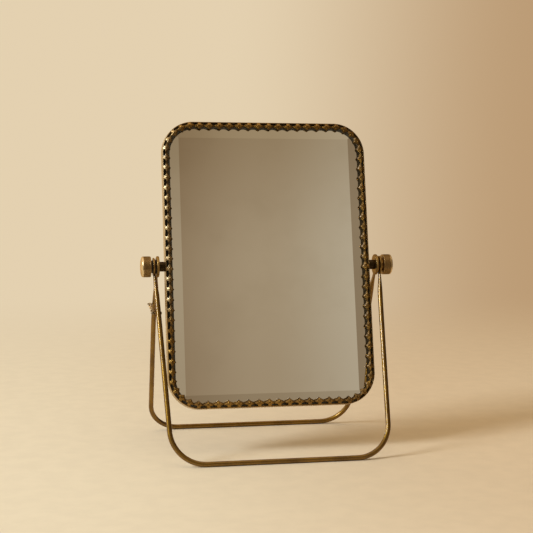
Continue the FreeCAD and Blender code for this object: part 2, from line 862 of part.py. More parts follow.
one_link, link_half = chain_link()
doc.recompute()
chain = stay_chain(one_link, link_half)

NODES = [
    front_leg,
    *front_lugs,
    *inner_washers,
    *outer_washers,
    front_chain_eye,
    chain,
    rear_leg,
    *rear_lugs,
    rear_chain_eye,
    frame_band,
    gallery,
    back_plate,
    backing_board,
    mirror_glass,
    *bosses,
    *studs,
    right_knob,
    left_knob,
]


def write_nodes(nodes):
    """Check every object of the document, then write each node to its own file."""
    doc.recompute()
    for thing in doc.Objects:
        if "Invalid" in thing.State or "Error" in thing.State:
            raise RuntimeError(f"{thing.Label} failed to build: {thing.State}")
    os.makedirs("parts", exist_ok=True)
    for node in nodes:
        if node.Shape.isNull() or not node.Shape.isValid() or not node.Shape.Solids:
            raise RuntimeError(f"{node.Label} has no sound solid")
        node.Shape.exportStep(f"parts/{node.Label}.step")
        print(f"{node.Label}: {len(node.Shape.Solids)} solid, {node.Shape.Volume:.1f} cubic mm")


write_nodes(NODES)
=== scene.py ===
"""Dresses a tilting table mirror: aged brass, a bevelled plate, a pierced leaf edge and a wire stand."""

import json
import logging
import math
from collections.abc import Iterable, Sequence
from dataclasses import dataclass, field, replace
from enum import Enum
from functools import cache

import bmesh
import bpy
from mathutils import Matrix, Vector


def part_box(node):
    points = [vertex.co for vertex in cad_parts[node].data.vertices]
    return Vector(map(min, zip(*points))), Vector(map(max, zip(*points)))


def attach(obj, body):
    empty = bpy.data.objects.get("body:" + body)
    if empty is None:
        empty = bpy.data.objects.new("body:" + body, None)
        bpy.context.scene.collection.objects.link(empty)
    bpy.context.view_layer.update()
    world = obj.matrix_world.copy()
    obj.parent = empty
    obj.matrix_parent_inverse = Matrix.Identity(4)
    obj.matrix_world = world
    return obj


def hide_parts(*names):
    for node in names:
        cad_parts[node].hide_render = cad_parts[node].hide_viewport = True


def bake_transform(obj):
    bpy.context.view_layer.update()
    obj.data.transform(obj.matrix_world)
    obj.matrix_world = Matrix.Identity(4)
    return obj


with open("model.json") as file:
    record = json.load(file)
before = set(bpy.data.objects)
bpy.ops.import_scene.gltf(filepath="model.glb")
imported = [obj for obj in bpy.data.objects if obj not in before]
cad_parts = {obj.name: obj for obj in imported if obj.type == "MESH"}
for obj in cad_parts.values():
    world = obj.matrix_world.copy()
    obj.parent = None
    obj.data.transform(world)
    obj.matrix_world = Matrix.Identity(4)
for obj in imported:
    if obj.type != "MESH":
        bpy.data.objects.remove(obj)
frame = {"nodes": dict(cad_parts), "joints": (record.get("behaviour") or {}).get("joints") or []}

LOG = logging.getLogger("table_mirror")
MM = 0.001

Colour = tuple[float, float, float]
Pair = tuple[float, float]
Stops = tuple[tuple[float, Colour], ...]
Face = tuple[int, ...]
Shape = tuple[list[Vector], list[Face]]
Socket = bpy.types.NodeSocket
FULL: Pair = (0.0, 1.0)


class Side(Enum):
    """The two ends of the pivots' line."""

    RIGHT = 1
    LEFT = -1

    def of(self, piece: str) -> str:
        """The name of a piece's node on this side."""
        return f"{self.name.lower()}_{piece}"


class Grain(Enum):
    """Which way a metal surface was worked."""

    CAST = "cast"
    DRAWN = "drawn"
    TURNED = "turned"


class NodeTree:
    """A tree of nodes, with short calls for adding and joining them."""

    def __init__(self, tree: bpy.types.NodeTree) -> None:
        """Empty a tree to work on.

        Args:
            tree: The tree.
        """
        self.tree = tree
        tree.nodes.clear()

    def add(self, kind: str, feeds: dict[int | str, object] | None = None, **settings: object) -> bpy.types.Node:
        """Add a node, set its properties and feed its inputs.

        Args:
            kind: The node's type name.
            feeds: What each input gets, a socket or a value.
            settings: Properties of the node.

        Returns:
            The node.
        """
        node = self.tree.nodes.new(kind)
        for key, value in settings.items():
            setattr(node, key, value)
        for index, value in (feeds or {}).items():
            self.feed(node.inputs[index], value)
        return node

    def make(self, kind: str, feeds: dict[int | str, object] | None = None, **settings: object) -> Socket:
        """Add a node in the same way and give its first output."""
        return self.add(kind, feeds, **settings).outputs[0]

    def feed(self, target: Socket, value: object) -> None:
        """Join a socket to an input, or set the input's own value.

        Args:
            target: The input.
            value: What it gets.
        """
        if isinstance(value, Socket):
            self.tree.links.new(value, target)
        else:
            target.default_value = value

    def math(self, operation: str, first: Socket | float, second: Socket | float, **settings: object) -> Socket:
        """Do a sum on two values and give the result."""
        return self.make("ShaderNodeMath", {0: first, 1: second}, operation=operation, **settings)


class ColourTree(NodeTree):
    """A tree that works out colours."""

    def axes(self, vector: Socket) -> dict[str, Socket]:
        """The three numbers of a vector, by the names of their axes."""
        outputs = self.add("ShaderNodeSeparateXYZ", {0: vector}).outputs
        return {axis: outputs[axis] for axis in "XYZ"}

    def sum(self, operation: str, first: Socket | float, second: Socket | float = 0.0) -> Socket:
        """Do a sum on two values and keep the result between 0 and 1."""
        return self.math(operation, first, second, use_clamp=True)

    def span(self, value: Socket, start: Pair, end: Pair = FULL) -> Socket:
        """Carry one range of values smoothly over to another.

        Args:
            value: The value.
            start: The range it has.
            end: The range it gets.

        Returns:
            The new value.
        """
        limits = dict(zip(("From Min", "From Max", "To Min", "To Max"), (*start, *end)))
        node = self.add("ShaderNodeMapRange", {"Value": value, **limits}, interpolation_type="SMOOTHSTEP")
        return node.outputs["Result"]

    def mix(
        self, share: Socket | float, first: Socket | Colour, second: Socket | Colour, blend_type: str = "MIX"
    ) -> Socket:
        """Mix two colours.

        Args:
            share: How much of the second colour there is.
            first: The first colour.
            second: The second colour.
            blend_type: How they are mixed.

        Returns:
            The mixed colour.
        """
        feeds: dict[int | str, object] = {0: share}
        for index, colour in ((6, first), (7, second)):
            feeds[index] = colour if isinstance(colour, Socket) else (*colour, 1.0)
        return self.add("ShaderNodeMix", feeds, data_type="RGBA", blend_type=blend_type).outputs[2]

    def ramp(self, value: Socket, stops: Stops) -> Socket:
        """Lay colours along a direction.

        Args:
            value: The direction's number, from -1 to 1.
            stops: Numbers and their colours, in order.

        Returns:
            The colour.
        """
        spread = self.add("ShaderNodeMapRange", {"Value": value, "From Min": -1.0, "From Max": 1.0})
        node = self.add("ShaderNodeValToRGB", {0: spread.outputs["Result"]})
        node.color_ramp.interpolation = "EASE"
        items = node.color_ramp.elements
        while len(items) < len(stops):
            items.new(0.5)
        for item, (spot, colour) in zip(items, stops):
            item.position = (spot + 1) / 2
            item.color = (*colour, 1.0)
        return node.outputs["Color"]


class Shader(ColourTree):
    """A material's nodes, round one principled surface."""

    def __init__(self, name: str) -> None:
        """Start a material with a bare surface.

        Args:
            name: The material's name.
        """
        self.material = bpy.data.materials.new(name)
        self.material.use_nodes = True
        super().__init__(self.material.node_tree)
        self.surface = self.add("ShaderNodeBsdfPrincipled")
        self.output = self.add("ShaderNodeOutputMaterial", {"Surface": self.surface.outputs[0]}).inputs["Surface"]
        self.place = self.add("ShaderNodeTexCoord").outputs["Object"]

    def finish(self, feeds: dict[str, object]) -> None:
        """Feed the surface's inputs, by name."""
        for name, value in feeds.items():
            self.feed(self.surface.inputs[name], value)

    def noise(self, scale: float, detail: float = 3.0, roughness: float = 0.55, place: Socket | None = None) -> Socket:
        """Add soft noise.

        Args:
            scale: Features in each metre.
            detail: How many finer layers it has.
            roughness: How strong the finer layers are.
            place: The coordinates it reads, if not the object's own.

        Returns:
            The noise's value, about 0.5 on average.
        """
        vector = self.place if place is None else place
        feeds = {"Vector": vector, "Scale": scale, "Detail": detail, "Roughness": roughness}
        return self.add("ShaderNodeTexNoise", feeds).outputs["Fac"]

    def stretch(self, scale: Sequence[float]) -> Socket:
        """The object's own coordinates, scaled along each axis."""
        return self.add("ShaderNodeMapping", {"Vector": self.place, "Scale": scale}).outputs["Vector"]

    def blend(self, share: float, first: Socket, second: Socket) -> Socket:
        """Mix two values, with the given share of the second."""
        return self.make("ShaderNodeMix", {0: share, 2: first, 3: second}, data_type="FLOAT")

    def relief(self, height: Socket, strength: float, depth: float) -> None:
        """Give the surface fine relief, on top of any that it has.

        Args:
            height: The height, from 0 to 1.
            strength: How much of it shows.
            depth: The height's size in metres.
        """
        node = self.add("ShaderNodeBump", {"Strength": strength, "Distance": depth, "Height": height})
        target = self.surface.inputs["Normal"]
        if target.is_linked:
            self.feed(node.inputs["Normal"], target.links[0].from_socket)
        self.feed(target, node.outputs["Normal"])

    def attribute(self, name: str) -> Socket:
        """Read a number that the mesh carries at each point."""
        return self.add("ShaderNodeAttribute", attribute_name=name).outputs["Fac"]


@dataclass(frozen=True)
class AgedBrass:
    """Brass that has browned with age under a thin lacquer, and is worn bright where it is handled."""

    name: str
    bright: Colour
    brown: Colour
    rough: Pair
    grain: Grain = Grain.CAST
    worn: bool = False
    brown_span: Pair = (0.38, 0.64)
    pits: float = 0.25
    lacquer: float = 0.6
    lacquer_rough: float = 0.2
    edge_tint: Colour = (0.66, 0.46, 0.22)
    vein_depth: float = 0.0
    # Painted side light: a paler colour high up on the left as a painted highlight, a browner one to the right as
    # painted shade, and where each takes hold.
    left_painted_highlight: Colour | None = None
    right_painted_shade: Colour | None = None
    left_highlight_span: Pair = (-80.0 * MM, -66.0 * MM)
    right_shade_span: Pair = (20.0 * MM, 76.0 * MM)
    highlight_above: Pair = (95.0 * MM, 130.0 * MM)
    patch_scale: float = 55.0
    speck_scale: float = 900.0
    worked_scale: float = 1400.0
    pit_depth: float = 0.08 * MM
    vein_strength: float = 0.8
    rib_span: Pair = (0.10, 0.45)
    speck_share: float = 0.4
    worn_span: Pair = (0.15, 0.85)
    worn_brown: Pair = (0.85, 0.0)
    worn_patches: float = 0.4
    streak_span: Pair = (0.35, 0.7)
    streak_share: Pair = (0.0, 0.35)
    streak_shade: float = 0.5
    dull_span: Pair = (0.1, 0.8)
    drawn_out: Pair = (0.05, 0.03)
    turned_out: Colour = (6.0, 0.4, 0.4)

    def worked_place(self, shader: Shader) -> Socket:
        """Coordinates drawn out along the way that the metal was worked.

        Args:
            shader: The material's nodes.

        Returns:
            The coordinates.
        """
        if self.grain is Grain.DRAWN:
            around, along = (
                shader.math("MULTIPLY", shader.attribute(name), factor)
                for name, factor in zip(("around", "along"), self.drawn_out)
            )
            return shader.make("ShaderNodeCombineXYZ", {0: around, 1: along})
        return shader.stretch(self.turned_out) if self.grain is Grain.TURNED else shader.place

    def rubbed_and_side_lit(self, shader: Shader) -> Socket | Colour:
        """The worn-bright metal's colour, with a painted highlight high up on the left and painted shade to the right.

        Args:
            shader: The material's nodes.

        Returns:
            The colour.
        """
        colour: Socket | Colour = self.bright
        axes = shader.axes(shader.place)
        # Painted highlight on the left, high up, where the key lamp lights it; painted shade to the right, away from
        # the lamp.
        if self.left_painted_highlight:
            beside = shader.span(axes["X"], self.left_highlight_span, (1.0, 0.0))
            above = shader.span(axes["Z"], self.highlight_above)
            colour = shader.mix(shader.sum("MULTIPLY", beside, above), colour, self.left_painted_highlight)
        if self.right_painted_shade:
            colour = shader.mix(shader.span(axes["X"], self.right_shade_span), colour, self.right_painted_shade)
        return colour

    def material(self) -> bpy.types.Material:
        """Build the material.

        Returns:
            The material.
        """
        shader = Shader(self.name)
        patches = shader.noise(self.patch_scale, 4.0)
        specks = shader.noise(self.speck_scale, 4.0, 0.65)
        worked = shader.noise(self.worked_scale, place=self.worked_place(shader))
        browned = shader.span(shader.blend(self.speck_share, patches, specks), self.brown_span)
        if self.worn:
            kept = shader.span(shader.attribute("wear"), self.worn_span, self.worn_brown)
            browned = shader.sum("ADD", shader.sum("MULTIPLY", browned, self.worn_patches), kept)
        colour = shader.mix(browned, self.rubbed_and_side_lit(shader), self.brown)
        streak = shader.span(worked, self.streak_span, self.streak_share)
        darker = tuple(part * self.streak_shade for part in self.brown)
        shader.finish({
            "Base Color": shader.mix(streak, colour, darker),
            "Metallic": 1.0,
            "Roughness": shader.span(shader.blend(0.5, browned, worked), self.dull_span, self.rough),
            "Coat Weight": self.lacquer,
            "Coat Roughness": self.lacquer_rough,
            "Specular Tint": (*self.edge_tint, 1.0),
        })
        shader.relief(shader.blend(0.5, specks, worked), self.pits, self.pit_depth)
        if self.vein_depth:
            veins = shader.sum("SINE", shader.attribute("vein"))
            rib = shader.span(shader.attribute("rib"), self.rib_span, (1.0, 0.0))
            shader.relief(shader.sum("MAXIMUM", veins, rib), self.vein_strength, self.vein_depth)
        return shader.material


@dataclass(frozen=True)
class SilveredPlate:
    """A silvered plate with a faint film of dust and a little tarnish."""

    name: str = "silvered_plate"
    clear: Colour = (0.90, 0.90, 0.88)
    film: Colour = (0.80, 0.79, 0.75)
    rough: Pair = (0.012, 0.05)
    cloud_scale: float = 18.0
    cloud_span: Pair = (0.45, 0.75)
    cloud_share: Pair = (0.0, 0.5)
    dust_scale: float = 2600.0
    dust_span: Pair = (0.70, 0.80)
    dust_share: Pair = (0.0, 0.6)

    def material(self) -> bpy.types.Material:
        """Build the material.

        Returns:
            The material.
        """
        shader = Shader(self.name)
        haze = shader.span(shader.noise(self.cloud_scale), self.cloud_span, self.cloud_share)
        grains = shader.span(shader.noise(self.dust_scale, 2.0, 0.7), self.dust_span, self.dust_share)
        both = shader.sum("MAXIMUM", haze, grains)
        shader.finish({
            "Base Color": shader.mix(both, self.clear, self.film),
            "Metallic": 1.0,
            "Roughness": shader.span(both, FULL, self.rough),
        })
        return shader.material


@dataclass(frozen=True)
class DullDark:
    """A dark matt surface, such as packing board or fibre, with mottling and a fibrous relief."""

    name: str
    dark: Colour
    light: Colour
    rough: Pair
    scale: float = 260.0
    dust: Colour | None = None
    dust_span: Pair = (80.0 * MM, 81.4 * MM)
    fibre_scale: float = 1500.0
    fibre_depth: float = 0.1 * MM
    fibre_strength: float = 0.3
    fibre_span: Pair = (0.2, 0.8)
    mottle_span: Pair = (0.35, 0.7)

    def material(self) -> bpy.types.Material:
        """Build the material, with any dust lying up to a certain distance from the middle.

        Returns:
            The material.
        """
        shader = Shader(self.name)
        mottle = shader.noise(self.scale, 4.0, 0.6)
        fibre = shader.noise(self.fibre_scale, place=shader.stretch((1.0, 1.0, 4.0)))
        colour = shader.mix(shader.span(mottle, self.mottle_span), self.dark, self.light)
        if self.dust:
            away = shader.sum("ABSOLUTE", shader.axes(shader.place)["X"])
            colour = shader.mix(shader.span(away, self.dust_span), self.dust, colour)
        shader.finish({"Base Color": colour, "Roughness": shader.span(fibre, self.fibre_span, self.rough)})
        shader.relief(fibre, self.fibre_strength, self.fibre_depth)
        return shader.material


# Painted shade: the front wire's brass is browner than the rear wire's, to deepen its shaded side.
BRASS_FRONT_WIRE_SHADED = AgedBrass(
    "brass_front_wire", (0.26, 0.144, 0.018), (0.145, 0.074, 0.006), (0.36, 0.44), Grain.DRAWN,
    pits=0.03, lacquer=0.8, lacquer_rough=0.12, edge_tint=(0.50, 0.30, 0.10),
)
BRASS_REAR_WIRE = replace(
    BRASS_FRONT_WIRE_SHADED, name="brass_rear_wire", bright=(0.30, 0.168, 0.022), brown=(0.18, 0.092, 0.008),
    lacquer=0.7, edge_tint=(0.58, 0.36, 0.12),
)
BRASS_TRAY = AgedBrass(
    "brass_tray_sheet", (0.55, 0.385, 0.155), (0.36, 0.235, 0.080), (0.28, 0.40),
    brown_span=(0.30, 0.80), lacquer=0.5, edge_tint=(1.0, 0.92, 0.78),
)
# The leaf edge is painted paler high up on the left as a highlight, and browner on the right as shade.
BRASS_LEAF = AgedBrass(
    "brass_leaf_edge", (0.47, 0.265, 0.050), (0.105, 0.055, 0.009), (0.30, 0.44), worn=True, pits=0.30,
    lacquer=0.60, lacquer_rough=0.27, vein_depth=0.16 * MM, left_painted_highlight=(0.70, 0.51, 0.25),
    right_painted_shade=(0.26, 0.138, 0.022),
)
# The pale bright brass shows where the knob is noted worn: on the crown it is finger-rubbed metal and also a painted
# highlight on the end that faces the key lamp.
BRASS_KNOB = AgedBrass(
    "brass_turned_knob", (0.90, 0.72, 0.44), (0.25, 0.140, 0.032), (0.26, 0.40), Grain.TURNED, worn=True,
    brown_span=(0.5, 0.9), pits=0.04, lacquer=0.3,
)
BRASS_LUG = AgedBrass(
    "brass_lug", (0.42, 0.265, 0.085), (0.16, 0.092, 0.024), (0.34, 0.46), Grain.TURNED, pits=0.10, lacquer=0.2
)
BRASS_BOSS = AgedBrass(
    "brass_dark_barrel", (0.045, 0.027, 0.009), (0.015, 0.009, 0.004), (0.36, 0.52), Grain.TURNED, lacquer=0.15
)
BRASS_CHAIN = AgedBrass("brass_chain_wire", (0.85, 0.66, 0.37), (0.10, 0.06, 0.015), (0.20, 0.34), lacquer=0.9)
PLATE = SilveredPlate()
BOARD = DullDark(
    "tray_packing", (0.006, 0.008, 0.006), (0.020, 0.022, 0.014), (0.35, 0.6), dust=(0.130, 0.118, 0.085)
)
# Dark fibre washers; their dark colour also stands in for the shade in the narrow gaps between the pivot discs.
FIBRE_GAP_SHADE = DullDark("fibre_washer", (0.010, 0.007, 0.005), (0.028, 0.020, 0.013), (0.5, 0.75), 900.0)

Finish = AgedBrass | SilveredPlate | DullDark


@cache
def paint(finish: Finish) -> bpy.types.Material:
    """A finish's material, made once."""
    return finish.material()


class GeometryTree(NodeTree):
    """A geometry tree, with short calls for what several trees do."""

    def __init__(self, name: str, inputs: dict[str, str]) -> None:
        """Start a tree that passes geometry in and out and takes a material.

        Args:
            name: The tree's name.
            inputs: Its other inputs' names and kinds of socket, such as Float.
        """
        super().__init__(bpy.data.node_groups.new(name, "GeometryNodeTree"))
        sockets = self.tree.interface
        for way in ("INPUT", "OUTPUT"):
            sockets.new_socket("Geometry", in_out=way, socket_type="NodeSocketGeometry")
        for label, kind in {**inputs, "Material": "Material"}.items():
            sockets.new_socket(label, in_out="INPUT", socket_type=f"NodeSocket{kind}")
        self.given = self.add("NodeGroupInput").outputs
        self.exit = self.add("NodeGroupOutput").inputs[0]
        self.index = self.make("GeometryNodeInputIndex")

    def store(self, geometry: Socket, name: str, value: Socket | float) -> Socket:
        """Note a number at each point of a geometry and give the geometry on."""
        feeds = {"Geometry": geometry, "Name": name, "Value": value}
        return self.make("GeometryNodeStoreNamedAttribute", feeds, data_type="FLOAT", domain="POINT")

    def vector(self, *parts: Socket) -> Socket:
        """A vector from its numbers, with zeros after them."""
        return self.make("ShaderNodeCombineXYZ", dict(enumerate(parts)))

    def rotation(self, angles: Socket) -> Socket:
        """A rotation from its three angles."""
        return self.make("FunctionNodeEulerToRotation", {0: angles})

    def facing(self, axes: str, primary: Socket | Colour, secondary: Socket) -> Socket:
        """A rotation that points two axes along two directions.

        Args:
            axes: The letters of the two axes.
            primary: Where the first one points.
            secondary: Where the second one points, as nearly as it can.

        Returns:
            The rotation.
        """
        feeds = {"Primary Axis": primary, "Secondary Axis": secondary}
        return self.make("FunctionNodeAxesToRotation", feeds, primary_axis=axes[0], secondary_axis=axes[1])

    def then(self, first: Socket, second: Socket) -> Socket:
        """A rotation, and then another in the turned axes."""
        return self.make("FunctionNodeRotateRotation", {0: first, 1: second}, rotation_space="LOCAL")

    def copies(self, points: Socket, pattern: str, rotation: Socket) -> Socket:
        """Set copies of a pattern object on points.

        Args:
            points: The points.
            pattern: The name of the input that holds the object.
            rotation: How each copy is turned.

        Returns:
            The copies.
        """
        shape = self.add("GeometryNodeObjectInfo", {"Object": self.given[pattern]}).outputs["Geometry"]
        feeds = {"Points": points, "Instance": shape, "Rotation": rotation}
        return self.make("GeometryNodeInstanceOnPoints", feeds)

    def circle(self, radius: Socket, sides: Socket | int) -> Socket:
        """A round section for a wire."""
        feeds = {"Resolution": sides, "Radius": radius}
        return self.make("GeometryNodeCurvePrimitiveCircle", feeds, mode="RADIUS")

    def smooth(self, geometry: Socket) -> Socket:
        """A geometry, shaded smooth."""
        return self.make("GeometryNodeSetShadeSmooth", {0: geometry})

    def close(self, *parts: Socket) -> None:
        """End the tree with all its parts as real geometry that has its material.

        Args:
            parts: The parts, in order.
        """
        whole = self.add("GeometryNodeJoinGeometry")
        for part in parts:
            self.feed(whole.inputs[0], part)
        real = self.add("GeometryNodeRealizeInstances", {0: whole.outputs[0]})
        feeds = {"Geometry": real.outputs[0], "Material": self.given["Material"]}
        self.feed(self.exit, self.make("GeometryNodeSetMaterial", feeds))

    def run(self, thing: bpy.types.Object, values: dict[str, object]) -> None:
        """Run the tree on an object and keep the result as a plain mesh.

        Args:
            thing: The object, whose mesh is replaced.
            values: What each named input gets.
        """
        modifier = thing.modifiers.new(self.tree.name, "NODES")
        modifier.node_group = self.tree
        for item in self.tree.interface.items_tree:
            if item.in_out == "INPUT" and item.name in values:
                modifier[item.identifier] = values[item.name]
        graph = bpy.context.evaluated_depsgraph_get()
        mesh = bpy.data.meshes.new_from_object(thing.evaluated_get(graph), depsgraph=graph)
        thing.modifiers.clear()
        mesh.name = thing.name
        thing.data = mesh


def new_object(name: str, mesh: bpy.types.Mesh | None = None) -> bpy.types.Object:
    """Put a mesh into the scene.

    Args:
        name: The object's name.
        mesh: Its mesh, or none for an empty one.

    Returns:
        The object, at the origin.
    """
    thing = bpy.data.objects.new(name, mesh or bpy.data.meshes.new(name))
    bpy.context.scene.collection.objects.link(thing)
    return thing


def mesh_of(name: str, points: Iterable[Sequence[float]], faces: Iterable[Face]) -> bpy.types.Mesh:
    """Make a mesh with clean normals.

    Args:
        name: The mesh's name.
        points: Its points in metres.
        faces: Its faces.

    Returns:
        The mesh.
    """
    mesh = bpy.data.meshes.new(name)
    mesh.from_pydata([tuple(point) for point in points], [], [tuple(face) for face in faces])
    shape = bmesh.new()
    shape.from_mesh(mesh)
    bmesh.ops.remove_doubles(shape, verts=shape.verts, dist=1e-7)
    bmesh.ops.recalc_face_normals(shape, faces=shape.faces)
    shape.to_mesh(mesh)
    shape.free()
    return mesh


def soften(mesh: bpy.types.Mesh, degrees: float = 35.0) -> None:
    """Shade a mesh smooth but for its sharp edges."""
    mesh.shade_smooth()
    mesh.set_sharp_from_angle(angle=math.radians(degrees))


def note(mesh: bpy.types.Mesh, name: str, values: Sequence[float]) -> None:
    """Note a number at each point of a mesh."""
    mesh.attributes.new(name, "FLOAT", "POINT").data.foreach_set("value", values)


def smooth_step(share: float) -> float:
    """A share kept between 0 and 1, with soft ends."""
    share = min(max(share, 0.0), 1.0)
    return share * share * (3 - 2 * share)


def turns(steps: int) -> list[float]:
    """Angles spaced evenly round a circle."""
    return [2 * math.pi * step / steps for step in range(steps)]


def grid(rows: int, columns: int, around: bool = True, closed: bool = False) -> list[Face]:
    """Four-sided faces between rows of points.

    Args:
        rows: How many rows there are.
        columns: How many points each has.
        around: Whether each row closes on itself.
        closed: Whether the last row joins the first.

    Returns:
        The faces.
    """
    faces: list[Face] = []
    for row in range(rows if closed else rows - 1):
        here, above = row * columns, (row + 1) % rows * columns
        for step in range(columns if around else columns - 1):
            after = (step + 1) % columns
            faces.append((here + step, here + after, above + after, above + step))
    return faces


def lathe(outline: Sequence[Pair], middle: Vector, steps: int = 96) -> Shape:
    """Turn an outline about a line along X.

    Args:
        outline: Places along X and radii, in metres.
        middle: A point on the line.
        steps: How many steps there are round.

    Returns:
        The points and the faces.
    """
    points = [
        middle + Vector((along, radius * math.cos(turn), radius * math.sin(turn)))
        for along, radius in outline
        for turn in turns(steps)
    ]
    return points, grid(len(outline), steps)


def rounded(outline: Sequence[Pair], radius: float, steps: int = 4) -> list[Pair]:
    """Round the corners of an open outline.

    Args:
        outline: The outline's points.
        radius: How far back each corner is cut, at most.
        steps: How many points each corner gets.

    Returns:
        The rounded outline.
    """
    result: list[Pair] = [outline[0]]
    for before, corner, after in zip(outline, outline[1:], outline[2:]):
        here = Vector(corner)
        back, on = Vector(before) - here, Vector(after) - here
        cut = min(radius, back.length * 0.45, on.length * 0.45)
        start, end = here + back.normalized() * cut, here + on.normalized() * cut
        for step in range(steps + 1):
            share = step / steps
            spot = start * (1 - share) ** 2 + here * 2 * share * (1 - share) + end * share**2
            result.append((spot.x, spot.y))
    result.append(outline[-1])
    return result


def ring_tube(path: Sequence[Vector], radius: float, sides: int) -> Shape:
    """Sweep a round wire along a closed flat path.

    Args:
        path: Points of the path.
        radius: The wire's radius.
        sides: How many sides the wire has.

    Returns:
        The points and the faces.
    """
    count = len(path)
    normal = (path[0] - path[count // 3]).cross(path[0] - path[2 * count // 3]).normalized()
    points: list[Vector] = []
    for index, spot in enumerate(path):
        out = (path[(index + 1) % count] - path[index - 1]).normalized().cross(normal)
        points += [spot + (out * math.cos(turn) + normal * math.sin(turn)) * radius for turn in turns(sides)]
    return points, grid(count, sides, closed=True)


def settle(thing: bpy.types.Object, body: str, nodes: Sequence[str]) -> None:
    """Let a finished piece ride on its body in place of its nodes.

    Args:
        thing: The piece.
        body: The body that it moves with.
        nodes: The nodes that it stands for.
    """
    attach(thing, body)
    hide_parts(*nodes)
    LOG.info("%s: %d faces on %s", thing.name, len(thing.data.polygons), body)


PIVOT = Vector(frame["joints"][0]["pos_m"])


def corners_of(node: str) -> tuple[Vector, Vector]:
    """The lowest and the highest corner of a node's box."""
    low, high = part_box(node)
    return Vector(low), Vector(high)


@dataclass(frozen=True)
class TrayPlane:
    """The tray's outline, and how its plane stands: x to the right, y up the plane and z to the front."""

    width: float = 167.4 * MM
    height: float = 230.6 * MM
    corner: float = 25.0 * MM
    angle: float = 12.3
    rise: float = 2.1 * MM

    def matrix(self) -> Matrix:
        """The change from the tray's plane to the row's frame.

        Returns:
            The matrix.
        """
        turn = math.radians(self.angle)
        middle = PIVOT + Vector((0, math.sin(turn), math.cos(turn))) * self.rise
        return Matrix.Translation(middle) @ Matrix.Rotation(math.pi / 2 - turn, 4, "X")


